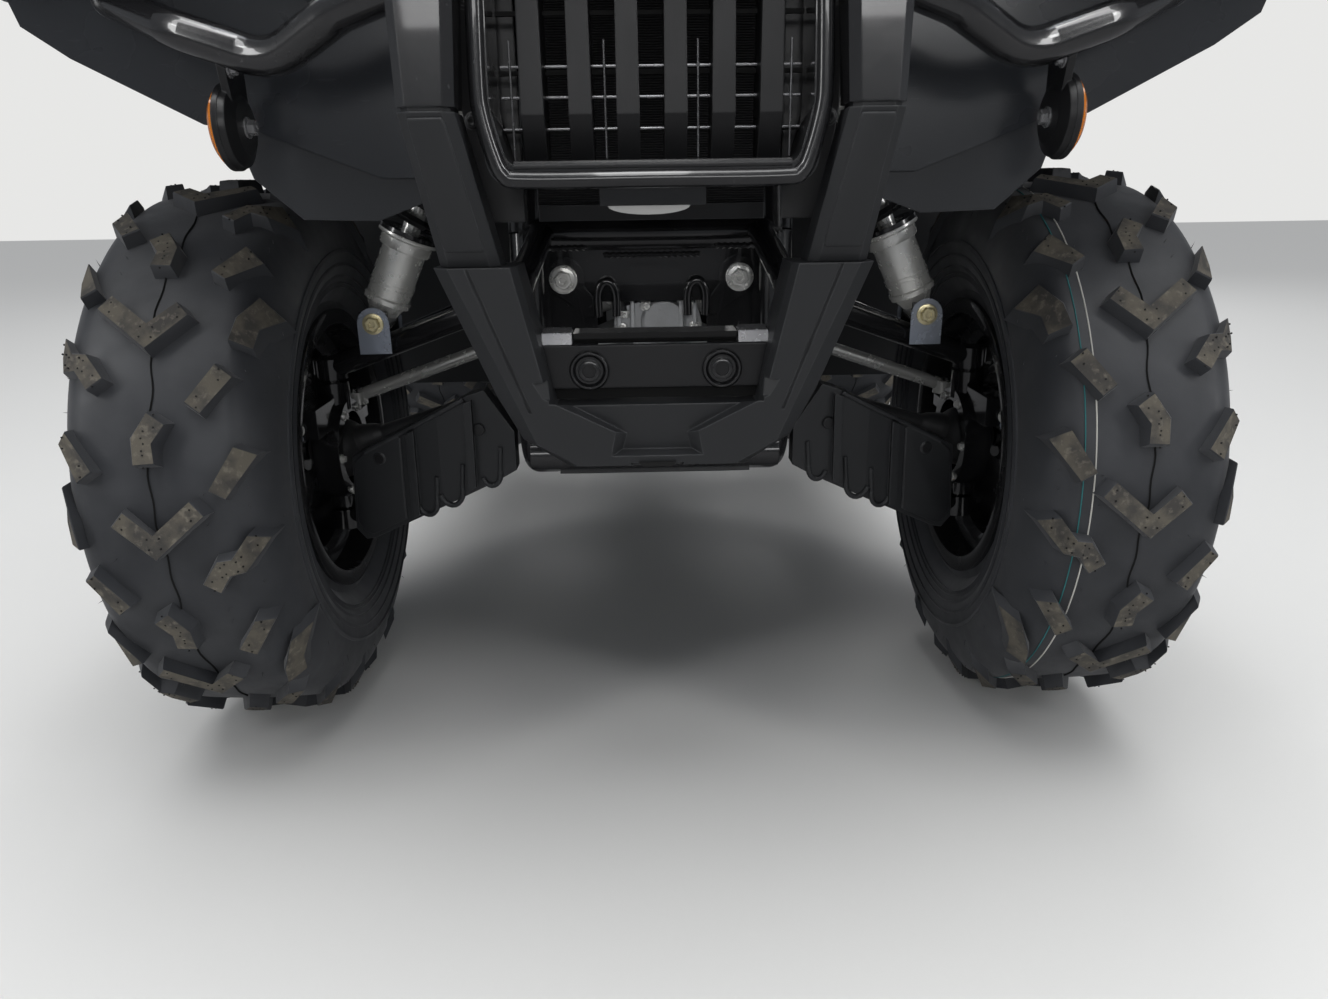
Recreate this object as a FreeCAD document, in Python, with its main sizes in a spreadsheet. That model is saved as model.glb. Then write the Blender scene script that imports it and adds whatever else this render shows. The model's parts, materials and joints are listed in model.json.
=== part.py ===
"""A four-wheeled utility quad bike, whole, with open engine and independent suspension.

Millimetres. X is across (the machine's left side is at +X), Y is along with the nose at -Y, Z is up.
The origin is on the floor under the middle of the whole vehicle.
Places along Y are mostly given from the front axle and turned into model places by at().
"""
import FreeCAD, Part
import math
import os
import re

import Sketcher
from FreeCAD import Placement, Rotation, Vector

# Driving sizes: cell alias, millimetres or degrees.
SIZES = (
    ("front_axle_y", -645.0),
    ("wheel_base", 1280.0),
    ("tyre_radius", 304.0),
    ("front_tyre_x", 447.0),
    ("rear_tyre_x", 475.0),
    ("front_tyre_half", 98.0),
    ("rear_tyre_half", 122.0),
    ("front_rim_half", 82.0),
    ("rear_rim_half", 104.0),
    ("lug_depth", 14.0),
    ("rim_radius", 163.0),
    ("bead_radius", 150.0),
    ("well_radius", 128.0),
    ("rim_wall", 4.0),
    ("wheel_face_x", 34.0),
    ("disc_radius", 84.0),
    ("kingpin_x", 374.0),
    ("front_ball_rise", 96.0),
    ("front_ball_drop", 85.0),
    ("ball_boss_radius", 19.0),
    ("ball_pin_radius", 8.0),
    ("ring_hole_radius", 44.0),
    ("ring_rim", 14.0),
    ("boot_radius", 36.0),
    ("running_gap", 0.3),
    ("upper_pivot_x", 88.0),
    ("upper_pivot_z", 507.0),
    ("lower_pivot_x", 120.0),
    ("lower_pivot_z", 358.0),
    ("arm_spread", 96.0),
    ("arm_tube_radius", 13.0),
    ("pivot_radius", 17.0),
    ("pivot_bolt_radius", 6.0),
    ("rod_ball_y", 73.0),
    ("rod_outer_rise", 46.0),
    ("rod_inner_z", 472.0),
    ("rod_inner_x", 19.0),
    ("rod_radius", 8.0),
    ("stem_rake", 27.0),
    ("pitman_length", 66.0),
    ("pitman_ball_y", 66.0),
    ("stem_length", 632.0),
    ("stem_radius", 16.0),
    ("bar_radius", 11.0),
    ("bar_half", 385.0),
    ("frame_tube_radius", 16.0),
    ("rail_x", 125.0),
    ("rail_z", 262.0),
    ("top_rail_z", 700.0),
    ("front_beam_z", 552.0),
    ("shock_low_x", 305.0),
    ("shock_eye_lift", 30.0),
    ("shock_high_x", 186.0),
    ("shock_high_z", 716.0),
    ("shock_y", -20.0),
    ("spring_radius", 31.0),
    ("rear_hub_x", 368.0),
    ("hub_offset", 39.0),
    ("rear_shock_low_x", 285.0),
    ("rear_shock_high_z", 712.0),
    ("rear_lower_pivot_z", 322.0),
    ("rear_upper_pivot_z", 470.0),
    ("rear_ball_rise", 92.0),
    ("rear_ball_drop", 90.0),
    ("rear_pivot_x", 118.0),
    ("guard_tube_radius", 14.5),
    ("rack_tube_radius", 11.0),
    ("front_rack_z", 965.0),
    ("rear_rack_z", 900.0),
    ("hitch_pin_radius", 8.5),
    ("body_wall", 4.0),
    ("arch_gap", 94.0),
    ("footwell_z", 300.0),
    ("skid_wall", 5.0),
)
ALIASES = [alias for alias, value in SIZES]

doc = FreeCAD.newDocument("quad_bike")
sheet = doc.addObject("Spreadsheet::Sheet", "Sizes")
for row, (alias, value) in enumerate(SIZES, start=1):
    sheet.set("A%d" % row, alias)
    sheet.set("B%d" % row, repr(value))
    sheet.setAlias("B%d" % row, alias)
doc.recompute()

pieces = []


def size(alias):
    return float(sheet.get(alias))


def at(x, from_axle, z):
    """A point whose place along Y is counted back from the front axle."""
    return Vector(x, size("front_axle_y") + from_axle, z)


def rear(x, from_axle, z):
    """A point whose place along Y is counted back from the rear axle."""
    return at(x, size("wheel_base") + from_axle, z)


# Objects whose sizes are bound to the sheet; their texts are sums of aliases and numbers

def in_sheet(text):
    """The text with each alias read from the sheet, as an expression."""
    return re.sub("[a-z_]+", lambda word: "Sizes." + word.group(0), text)


def total(text):
    """The value of a sum of aliases and numbers."""
    result, sign = 0.0, 1.0
    for word in text.split():
        if word in ("+", "-"):
            sign = -1.0 if word == "-" else 1.0
        else:
            result += sign * (size(word) if word in ALIASES else float(word))
    return result


def bind(thing, **texts):
    """Binds an object's properties, and its place by x, y and z, to sums of sizes."""
    for name, text in texts.items():
        target = "Placement.Base." + name if name in ("x", "y", "z") else name
        thing.setExpression(target, in_sheet(text))
    return thing


def bound_box(name, x, y, z):
    """A box; x, y and z hold its start and its length as texts."""
    box = doc.addObject("Part::Box", name)
    return bind(box, x=x[0], y=y[0], z=z[0], Length=x[1], Width=y[1], Height=z[1])


def bound_cylinder(name, axis, radius, height, x, y, z):
    """A cylinder from the place x, y, z along an axis."""
    cylinder = doc.addObject("Part::Cylinder", name)
    cylinder.Placement = Placement(Vector(), Rotation(Vector(0, 0, 1), axis))
    return bind(cylinder, x=x, y=y, z=z, Radius=radius, Height=height)


def fused(label, things):
    """One solid from several objects."""
    feature = doc.addObject("Part::MultiFuse", label)
    feature.Shapes = things
    feature.Refine = True
    return feature


def cut_by(label, base, tool):
    feature = doc.addObject("Part::Cut", label)
    feature.Base, feature.Tool = base, tool
    return feature


def mirror_of(label, source):
    """The same object on the other side of the vehicle."""
    feature = doc.addObject("Part::Mirroring", label)
    feature.Source = source
    feature.Normal = Vector(1, 0, 0)
    return feature


def finished(label, feature):
    """Names an object as one of the vehicle's pieces."""
    feature.Label = label
    pieces.append(feature)
    return feature


def outline_sketch(body, role, corners):
    """A closed outline of straight lines on one of the body's planes; corners are pairs of texts."""
    sketch = body.newObject("Sketcher::SketchObject", "Outline")
    sketch.AttachmentSupport = [plane for plane in body.Origin.OriginFeatures if plane.Role == role]
    sketch.MapMode = "FlatFace"
    places = [Vector(total(across), total(up), 0) for across, up in corners]
    count = len(places)
    for i in range(count):
        sketch.addGeometry(Part.LineSegment(places[i], places[(i + 1) % count]))
    for i in range(count):
        sketch.addConstraint(Sketcher.Constraint("Coincident", i, 2, (i + 1) % count, 1))
    for i, texts in enumerate(corners):
        for kind, text in zip(("DistanceX", "DistanceY"), texts):
            index = sketch.addConstraint(Sketcher.Constraint(kind, -1, 1, i, 1, total(text)))
            sketch.setExpression("Constraints[%d]" % index, in_sheet(text))
    return sketch


def revolution(body, corners):
    """Turns an outline of (along X, radius) corners about the body's X axis."""
    sketch = outline_sketch(body, "XZ_Plane", corners)
    feature = body.newObject("PartDesign::Revolution", "Turned")
    feature.Profile = sketch
    feature.ReferenceAxis = (sketch, ["H_Axis"])
    feature.Angle = 360.0
    return feature


# Shapes that several pieces share

def rod(start, end, radius):
    """A round bar from one point to another."""
    run = end - start
    return Part.makeCylinder(radius, run.Length, start, run)


def bent_path(points, bend):
    """Straight runs through the points, joined by tangent arcs of radius bend or less."""
    edges = []
    here = points[0]
    for before, corner, after in zip(points, points[1:], points[2:]):
        back = (before - corner).normalize()
        on = (after - corner).normalize()
        turn = math.pi - back.getAngle(on)
        shortest = min((before - corner).Length, (after - corner).Length)
        cut = min(bend * math.tan(turn / 2), 0.45 * shortest)
        radius = cut / math.tan(turn / 2)
        first = corner + back * cut
        last = corner + on * cut
        inward = (back + on).normalize()
        centre = corner + inward * math.hypot(cut, radius)
        edges.append(Part.LineSegment(here, first).toShape())
        edges.append(Part.Arc(first, centre - inward * radius, last).toShape())
        here = last
    edges.append(Part.LineSegment(here, points[-1]).toShape())
    return Part.Wire(edges)


def tube(points, radius, bend=60.0):
    """A round bar bent along the points."""
    if len(points) == 2:
        return rod(points[0], points[1], radius)
    path = bent_path(points, bend)
    start = points[0]
    ring = Part.Wire(Part.makeCircle(radius, start, points[1] - start))
    return path.makePipe(Part.Face(ring))


def mirrored(shape):
    """The same shape on the other side of the vehicle."""
    return shape.mirror(Vector(0, 0, 0), Vector(1, 0, 0))


def both_sides(shape):
    return Part.makeCompound([shape, mirrored(shape)])


def joined(shapes):
    """One fused shape."""
    return shapes[0].multiFuse(list(shapes[1:])).removeSplitter()


def biggest(shape):
    """The largest solid of a shape, without the chips that a cut leaves."""
    return max(shape.Solids, key=lambda solid: solid.Volume)


def slab(points, thickness):
    """A flat outline of corner points, thickened along its own normal by the vector given."""
    outline = Part.makePolygon(list(points) + [points[0]])
    return Part.Face(outline).extrude(thickness)


def block(low, high):
    return Part.makeBox(high.x - low.x, high.y - low.y, high.z - low.z, low)


def turned(profile, centre, axis=Vector(1, 0, 0)):
    """A shape turned about an axis through centre; profile rows are (along the axis, radius)."""
    side = Vector(0, 0, 1) if abs(axis.z) < 0.9 else Vector(1, 0, 0)
    side = (side - axis * side.dot(axis)).normalize()
    points = [centre + axis * along + side * radius for along, radius in profile]
    face = Part.Face(Part.makePolygon(points + [points[0]]))
    return face.revolve(centre, axis, 360)


def loft(sections, ruled=True):
    """A solid through closed outlines of corner points."""
    wires = [Part.makePolygon(list(points) + [points[0]]) for points in sections]
    return Part.makeLoft(wires, True, ruled)


def rounded(points, radius):
    """A flat face whose corners are tangent arcs of the radius or less."""
    arcs = []
    for before, corner, after in zip(points[-1:] + points[:-1], points, points[1:] + points[:1]):
        back = (before - corner).normalize()
        on = (after - corner).normalize()
        turn = math.pi - back.getAngle(on)
        shortest = min((before - corner).Length, (after - corner).Length)
        cut = min(radius * math.tan(turn / 2), 0.45 * shortest)
        inward = (back + on).normalize()
        reach = cut / math.tan(turn / 2)
        centre = corner + inward * math.hypot(cut, reach)
        arcs.append((corner + back * cut, centre - inward * reach, corner + on * cut))
    edges = []
    for here, following in zip(arcs, arcs[1:] + arcs[:1]):
        edges.append(Part.Arc(*here).toShape())
        edges.append(Part.LineSegment(here[2], following[0]).toShape())
    return Part.Face(Part.Wire(edges))


def bevelled(low_x, high_x, front, depth, z, cut):
    """A level outline with its four corners cut; front is counted from the front axle."""
    back = front + depth
    return [at(low_x + cut, front, z), at(high_x - cut, front, z), at(high_x, front + cut, z),
            at(high_x, back - cut, z), at(high_x - cut, back, z), at(low_x + cut, back, z),
            at(low_x, back - cut, z), at(low_x, front + cut, z)]


def piece(label, shape):
    """Adds a finished shape to the document as one named piece."""
    feature = doc.addObject("Part::Feature", label)
    feature.Label = label
    feature.Shape = shape
    pieces.append(feature)
    return feature


# Wheels

LUG_ROWS = (
    # Width, then the middle line: across in mm for the front tyre, degrees round it. The other half of the
    # pattern is the mirror image, half a repeat on.
    (17.0, ((-43, 5.0), (0, -1.9), (29, 3.4))),
    (19.0, ((1, -23.6), (0, -19.6), (13, -15.8))),
    (17.0, ((-41, -10.0), (-55, -6.2), (-69, -5.9), (-85, -1.6))),
    (17.0, ((-52, -25.5), (-76, -18.6))),
    (16.0, ((-77, -38.5), (-80, -34.0), (-92, -28.0))),
    (17.0, ((-43, -50.3), (-68, -43.6))),
    (16.0, ((-60, -65.0), (-82, -57.4))),
)
TREAD_REPEATS = 5
CROWN_DROPS = ((0.42, 0.0), (0.7, 5.0), (0.87, 18.0), (1.0, 42.0))


def crown_profile(half, radius):
    """The rounded crown from one shoulder to the other, as (across, radius)."""
    right = [(half * share, radius - drop) for share, drop in CROWN_DROPS]
    return [(-across, height) for across, height in reversed(right)] + right


def lug_outline(line, width):
    """The corners of a bar of even width along a line of points."""
    left, right = [], []
    for i, point in enumerate(line):
        after = (line[i + 1] - point).normalize() if i + 1 < len(line) else None
        before = (point - line[i - 1]).normalize() if i else after
        after = after or before
        out = Vector(-before.y - after.y, before.x + after.x, 0).normalize()
        reach = width / 2 / out.dot(Vector(-before.y, before.x, 0))
        left.append(point + out * reach)
        right.append(point - out * reach)
    return left + right[::-1]


def lug(width, points, half, crown, mirror):
    """One lug at its place, its foot in the carcass and its top beyond the crown."""
    share = half / size("front_tyre_half")
    middle = sum(turn for across, turn in points) / len(points)
    line = [Vector(mirror * across * share, math.radians(turn - middle) * crown, 0)
            for across, turn in points]
    foot = Vector(0, 0, crown - 55.0)
    bar = slab([corner + foot for corner in lug_outline(line, width * share)], Vector(0, 0, 90.0))
    bar.rotate(Vector(0, 0, 0), Vector(1, 0, 0), 90.0 - middle)
    return bar


def tyre_shape(half, rim_half):
    """A tyre about X at the origin: a carcass with its pattern of lugs."""
    radius = size("tyre_radius")
    crown = radius - size("lug_depth")
    bead = size("bead_radius") + size("running_gap")
    seat = rim_half - 8.0
    flank = size("rim_radius") + 6.0
    rise = crown - flank
    side = [(half, flank + rise * 0.62), (half - 2.0, flank + rise * 0.3), (seat, flank), (seat, bead)]
    other_side = [(-across, height) for across, height in reversed(side)]
    carcass = turned(crown_profile(half, crown) + side + other_side, Vector(0, 0, 0))
    inner = crown_profile(half, crown - 6.0)
    band = turned(crown_profile(half, radius) + inner[::-1], Vector(0, 0, 0))
    lugs = []
    for width, points in LUG_ROWS:
        for turn, mirror in ((0.0, 1), (180.0 / TREAD_REPEATS, -1)):
            bar = lug(width, points, half, crown, mirror).common(band)
            for step in range(TREAD_REPEATS):
                copy = bar.copy()
                copy.rotate(Vector(0, 0, 0), Vector(1, 0, 0), -turn - 360.0 / TREAD_REPEATS * step)
                lugs.append(copy)
    return carcass.multiFuse(lugs)


def make_rim(label, rim_half, hub_x, centre_x, axle_y):
    """A pressed wheel about X, its face towards +X, with hub and brake disc."""
    body = doc.addObject("PartDesign::Body", label)
    inner_rim = [
        ("- %s" % rim_half, "rim_radius"), ("6 - %s" % rim_half, "rim_radius"),
        ("6 - %s" % rim_half, "bead_radius"), ("34 - %s" % rim_half, "bead_radius - 2"),
        ("46 - %s" % rim_half, "well_radius")]
    outer_rim = [
        ("%s - 46" % rim_half, "well_radius"), ("%s - 34" % rim_half, "bead_radius - 2"),
        ("%s - 6" % rim_half, "bead_radius"), ("%s - 6" % rim_half, "rim_radius"), (rim_half, "rim_radius"),
        (rim_half, "bead_radius - rim_wall"), ("%s - 32" % rim_half, "bead_radius - 2 - rim_wall"),
        ("%s - 46 + rim_wall" % rim_half, "well_radius - rim_wall")]
    under = [
        ("46 - rim_wall - %s" % rim_half, "well_radius - rim_wall"),
        ("32 - %s" % rim_half, "bead_radius - 2 - rim_wall"), ("- %s" % rim_half, "bead_radius - rim_wall")]
    revolution(body, inner_rim + outer_rim + under)
    revolution(body, (
        ("wheel_face_x - 22", "well_radius - 1"), ("wheel_face_x - 6", "104"), ("wheel_face_x - 6", "62"),
        ("wheel_face_x - 14", "56"), ("wheel_face_x - 14", "0"), ("wheel_face_x - 6", "0"),
        ("wheel_face_x - 6", "54"), ("wheel_face_x + 2", "62"), ("wheel_face_x + 2", "106"),
        ("wheel_face_x - 14", "well_radius - 1")))
    hub = "%s + hub_offset - %s" % (hub_x, centre_x)
    spigot = hub + " - hub_offset + boot_radius + running_gap"
    revolution(body, (
        (spigot, "0"), (spigot, "14"), (hub, "14"), (hub, "26"), (hub + " + 6", "30"),
        (hub + " + 6", "disc_radius"), (hub + " + 10", "disc_radius"), (hub + " + 10", "34"),
        ("wheel_face_x - 15", "34"),
        ("wheel_face_x - 15", "50"), ("wheel_face_x - 6", "50"), ("wheel_face_x - 6", "30"),
        ("wheel_face_x + 20", "26"), ("wheel_face_x + 20", "0")))
    doc.recompute()
    windows = body.newObject("Sketcher::SketchObject", "Window")
    windows.AttachmentSupport = [plane for plane in body.Origin.OriginFeatures if plane.Role == "YZ_Plane"]
    windows.MapMode = "FlatFace"
    windows.addGeometry(Part.Circle(Vector(0, 86.0, 0), Vector(0, 0, 1), 13.0))
    windows.addConstraint(Sketcher.Constraint("PointOnObject", 0, 3, -2))
    windows.addConstraint(Sketcher.Constraint("DistanceY", -1, 1, 0, 3, 86.0))
    windows.addConstraint(Sketcher.Constraint("Radius", 0, 13.0))
    pocket = body.newObject("PartDesign::Pocket", "WindowCut")
    pocket.Profile = windows
    pocket.Midplane = False
    pocket.Reversed = True
    pocket.Length = 60.0
    doc.recompute()
    pattern = body.newObject("PartDesign::PolarPattern", "Windows")
    pattern.Originals = [pocket]
    pattern.Axis = (windows, ["N_Axis"])
    pattern.Angle = 360.0
    pattern.Occurrences = 8
    body.Tip = pattern
    body.Placement = Placement(Vector(), Rotation(Vector(1, 0, 0), 22.5))
    bind(body, x=centre_x, y=axle_y, z="tyre_radius")
    return finished(label, body)


def make_wheels():
    rows = (
        # end, place of the axle, centre x, hub x, tyre half, rim half
        ("front", "front_axle_y", "front_tyre_x", "kingpin_x", "front_tyre_half", "front_rim_half"),
        ("rear", "front_axle_y + wheel_base", "rear_tyre_x", "rear_hub_x", "rear_tyre_half",
         "rear_rim_half"),
    )
    for end, axle_y, centre_x, hub_x, tyre_half, rim_half in rows:
        shape = tyre_shape(size(tyre_half), size(rim_half))
        tyre = piece("tyre_%s_left" % end, shape)
        tyre.Placement = Placement(Vector(size(centre_x), total(axle_y), size("tyre_radius")), Rotation())
        rim = make_rim("wheel_%s_left" % end, rim_half, hub_x, centre_x, axle_y)
        for source, name in ((tyre, "tyre_%s_right"), (rim, "wheel_%s_right")):
            finished(name % end, mirror_of(name % end, source))


# Front suspension and steering

def knuckle_shape():
    """The left front upright: axle ring, ball bosses, steering arm and brake caliper."""
    x, axle = size("kingpin_x"), size("tyre_radius")
    hole, boss = size("ring_hole_radius"), size("ball_boss_radius")
    ring_out = hole + size("ring_rim")
    pin = size("ball_pin_radius") + size("running_gap")
    high, low = axle + size("front_ball_rise"), axle - size("front_ball_drop")
    centre = at(x, 0, axle)
    across = Vector(1, 0, 0)
    ring = Part.makeCylinder(ring_out, 30.0, centre - across * 17.0, across)
    top = Part.makeCylinder(boss, high - 16.0 - axle - hole - 4.0, at(x, 0, axle + hole + 4.0))
    bottom = Part.makeCylinder(boss, axle - hole - 4.0 - low - 16.0, at(x, 0, low + 16.0))
    reach = size("rod_ball_y")
    arm_z = axle + size("rod_outer_rise") - 12.0
    arm = slab([at(x - 12, 44, arm_z), at(x + 13, 44, arm_z), at(x + 11, reach + 14, arm_z),
                at(x - 11, reach + 14, arm_z)], Vector(0, 0, -14.0))
    stud = Part.makeCylinder(size("rod_radius") - 2.0, 28.0, at(x, reach, arm_z - 4.0))
    bridge = block(at(x - 10, -94, axle + 34), at(x + 13, -30, axle + 66))
    jaw = x + size("hub_offset") + 8.0
    caliper = block(at(x + 8, -96, axle + 30), at(jaw + 22, -50, axle + 70))
    slot_low = at(jaw - 8, -90, axle - 20)
    slot = block(slot_low, at(jaw + 8, -20, axle + 90))
    body = joined([ring, top, bottom, arm, stud, bridge, caliper])
    body = body.cut(Part.makeCylinder(hole, 40.0, centre - across * 20.0, across))
    body = body.cut(slot)
    body = body.cut(Part.makeCylinder(pin, 26.0, at(x, 0, high - 40.0)))
    return body.cut(Part.makeCylinder(pin, 26.0, at(x, 0, low + 14.0)))


def arm_pair(inner_x, inner_z, outer, boss_y, radius):
    """A wishbone's two legs with a pivot barrel at each inner end."""
    shapes = []
    for side in (-1, 1):
        inner = Vector(inner_x, outer.y + side * size("arm_spread"), inner_z)
        shapes.append(rod(outer, inner, radius))
        barrel = Part.makeCylinder(size("pivot_radius"), boss_y, inner - Vector(0, boss_y / 2, 0),
                                   Vector(0, 1, 0))
        shapes.append(barrel)
    return shapes


def drilled_pivots(shape, inner_x, inner_z, y):
    """Bores the barrels of a wishbone for their bolts."""
    bore = size("pivot_bolt_radius") + size("running_gap")
    hole = Part.makeCylinder(bore, 600.0, Vector(inner_x, y - 300.0, inner_z), Vector(0, 1, 0))
    return shape.cut(hole)


def upper_arm(outer, pivot_x, pivot_z, eye):
    """An upper wishbone with the two ears that hold a shock's lower eye."""
    shapes = arm_pair(pivot_x, pivot_z, outer, 44.0, size("arm_tube_radius"))
    shapes.append(block(eye + Vector(-15, -27, -32), eye + Vector(15, 27, -20)))
    for ear in (-27.0, 21.0):
        shapes.append(block(eye + Vector(-15, ear, -32), eye + Vector(15, ear + 6.0, 13)))
    return drilled_pivots(joined(shapes), pivot_x, pivot_z, outer.y)


def lower_arm(outer, pivot_x, pivot_z):
    shapes = arm_pair(pivot_x, pivot_z, outer, 44.0, size("arm_tube_radius") + 1.0)
    return drilled_pivots(joined(shapes), pivot_x, pivot_z, outer.y)


def with_ball_pin(arm, outer, up):
    """The arm's outer housing and pin, with room round the pin for the knuckle's boss."""
    boss = size("ball_boss_radius")
    way = Vector(0, 0, up)
    room = Part.makeCylinder(boss + 5.0, 70.0, outer + way * 12.0, way)
    housing = Part.makeCylinder(boss, 24.0, outer - way * 12.0, way)
    pin = Part.makeCylinder(size("ball_pin_radius"), 36.0, outer, way)
    return joined([arm.cut(room), housing, pin])


def guard_strip(first, last):
    """The bent band that the shield lies in, seen from above, between two depths behind its face."""
    line = ((120, -128), (232, -110), (350, -80))
    front = [at(x, y + first, 150) for x, y in line]
    back = [at(x, y + last, 150) for x, y in line]
    return slab(front + back[::-1], Vector(0, 0, 300))


def guard_outline(inset):
    """The shield's outline seen from the front; it follows the lower wishbone."""
    low, high = ball_heights("front")[1], size("lower_pivot_z")
    corners = ((148, high - 50), (172, high - 64), (316, low + 3), (328, low), (339, low + 12),
               (334, low + 96), (320, low + 104), (196, high + 30), (178, high + 36), (148, high - 8))
    middle = Vector(240, 0, (low + high) / 2 + 18)
    points = []
    for x, z in corners:
        inward = (middle - Vector(x, 0, z)).normalize() * inset
        points.append(at(x + inward.x, -200, z + inward.z))
    return slab(points, Vector(0, 250, 0))


def arm_guard():
    """The plastic shield in front of a lower wishbone: a bent tray with two upright ribs."""
    wall = size("body_wall")
    hollow = guard_outline(wall).common(guard_strip(wall, 40))
    tray = guard_outline(0).common(guard_strip(0, 26)).cut(hollow)
    parts = [tray]
    for x in (196, 262):
        rib = slab([at(x, -200, 100), at(x + 9, -200, 100), at(x + 3, -200, 460), at(x - 6, -200, 460)],
                   Vector(0, 250, 0))
        parts.append(rib.common(guard_outline(8)).common(guard_strip(-7, 1)))
    outer = at(size("kingpin_x"), 0, ball_heights("front")[1])
    inner = at(size("lower_pivot_x"), -size("arm_spread"), size("lower_pivot_z"))
    for share in (0.38, 0.72):
        seat = outer + (inner - outer) * share
        parts.append(rod(at(seat.x, -132, seat.z), seat, 7.0).cut(guard_strip(-60, 1)))
    arm = lower_arm(outer, size("lower_pivot_x"), size("lower_pivot_z"))
    return biggest(joined(parts).cut(arm))


def shock(low, high, spring):
    """A damper between two eyes: lower cylinder, spring coils and top cap."""
    axis = (high - low).normalize()
    length = (high - low).Length
    eye = Vector(0, 1, 0)
    body = turned(((10.0, 0), (10.0, 16.0), (26.0, 24.0), (98.0, 24.0), (98.0, spring), (105.0, spring),
                   (105.0, 10.0), (length - 48.0, 10.0), (length - 48.0, spring), (length - 38.0, spring),
                   (length - 30.0, 18.0), (length - 10.0, 16.0), (length - 10.0, 0)), low, axis)
    parts = [body]
    for end in (low, high):
        parts.append(Part.makeCylinder(13.0, 41.4, end - eye * 20.7, eye))
    return joined(parts)


def spring_coils(low, high, spring):
    """A coil spring of square wire between the shock's two flanges."""
    axis = (high - low).normalize()
    side = Vector(0, 1, 0)
    other = axis.cross(side)
    wire, turns, steps = 5.0, 6, 10
    first = 105.3 + wire
    rise = (high - low).Length - 48.3 - wire - first
    sections = []
    for step in range(turns * steps + 1):
        share = step / (turns * steps)
        angle = 2 * math.pi * turns * share
        out = side * math.cos(angle) + other * math.sin(angle)
        centre = low + axis * (first + rise * share)
        sections.append([centre + out * (spring - 2 * wire), centre + out * (spring - wire) + axis * wire,
                         centre + out * spring, centre + out * (spring - wire) - axis * wire])
    return loft(sections)


def ball_heights(end):
    """Heights of the upper and lower ball joints, which follow the axle."""
    return size("tyre_radius") + size(end + "_ball_rise"), size("tyre_radius") - size(end + "_ball_drop")


def shock_ends(end):
    """The lower eye, a little over the upper wishbone's line, and the upper eye."""
    if end == "front":
        ball_x, low_x, pivot_x = size("kingpin_x"), size("shock_low_x"), size("upper_pivot_x")
        pivot_z, high_z, place = size("upper_pivot_z"), size("shock_high_z"), at
    else:
        ball_x, low_x, pivot_x = size("rear_hub_x"), size("rear_shock_low_x"), size("rear_pivot_x")
        pivot_z, high_z, place = size("rear_upper_pivot_z"), size("rear_shock_high_z"), rear
    ball_z = ball_heights(end)[0]
    low_z = ball_z + (pivot_z - ball_z) * (ball_x - low_x) / (ball_x - pivot_x) + size("shock_eye_lift")
    return place(low_x, size("shock_y"), low_z), place(size("shock_high_x"), size("shock_y"), high_z)


def half_shaft(inner, outer):
    """A drive shaft with a rubber boot at each end."""
    axis = (outer - inner).normalize()
    length = (outer - inner).Length
    boot = size("boot_radius")
    profile = ((0, 0), (0, 30.0), (18.0, 33.0), (26.0, 27.0), (34.0, 31.0), (42.0, 24.0), (50.0, 27.0),
               (60.0, 18.0), (70.0, 16.0), (78.0, 11.0), (length - 60.0, 11.0), (length - 52.0, 15.0),
               (length - 36.0, 19.0), (length, 24.0), (length, 0))
    parts = [turned(profile, inner, axis), Part.makeSphere(boot, outer)]
    return joined(parts)


def make_front_suspension():
    x, axle = size("kingpin_x"), size("tyre_radius")
    knuckle = knuckle_shape()
    piece("knuckle_front_left", knuckle)
    piece("knuckle_front_right", mirrored(knuckle))
    high, low = (at(x, 0, z) for z in ball_heights("front"))
    upper = upper_arm(high, size("upper_pivot_x"), size("upper_pivot_z"), shock_ends("front")[0])
    lower = lower_arm(low, size("lower_pivot_x"), size("lower_pivot_z"))
    piece("upper_arms_front", both_sides(with_ball_pin(upper, high, -1)))
    piece("lower_arms_front", both_sides(with_ball_pin(lower, low, 1)))
    piece("arm_guards", both_sides(arm_guard()))
    outer = at(x, 0, axle)
    shaft = half_shaft(at(80, -30, 398), outer)
    inner = Part.makeCylinder(20.0, 22.0, at(70.3, -30, 398), Vector(1, 0, 0))
    piece("half_shafts_front", both_sides(joined([shaft, inner])))


def tie_rod():
    """The left tie rod, an eye at each end. The inner eye lies in the pitman's own plane."""
    outer = at(size("kingpin_x"), size("rod_ball_y"), size("tyre_radius") + size("rod_outer_rise"))
    inner = at(size("rod_inner_x"), size("pitman_ball_y"), size("rod_inner_z"))
    run = (inner - outer).normalize()
    wide, hole = 17.0, size("rod_radius") - 2.0 + size("running_gap")
    tilt = stem_axis()
    shapes = [rod(outer + run * 10, inner - run * 10, size("rod_radius")),
              Part.makeCylinder(wide, 16.0, outer - Vector(0, 0, 8.0)),
              Part.makeCylinder(wide, 12.0, inner - tilt * 6.0, tilt)]
    body = joined(shapes)
    body = body.cut(Part.makeCylinder(hole, 60.0, outer - Vector(0, 0, 30.0)))
    return body.cut(Part.makeCylinder(12.5, 60.0, inner - tilt * 30.0, tilt))


def stem_axis():
    rake = math.radians(size("stem_rake"))
    return Vector(0, math.sin(rake), math.cos(rake))


def stem_foot():
    """Where the steering stem's line meets the pitman plate's middle plane."""
    rake = math.radians(size("stem_rake"))
    arm = Vector(0, math.cos(rake), -math.sin(rake)) * size("pitman_length")
    return at(0, size("pitman_ball_y"), size("rod_inner_z")) + stem_axis() * 15.0 - arm


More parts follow.
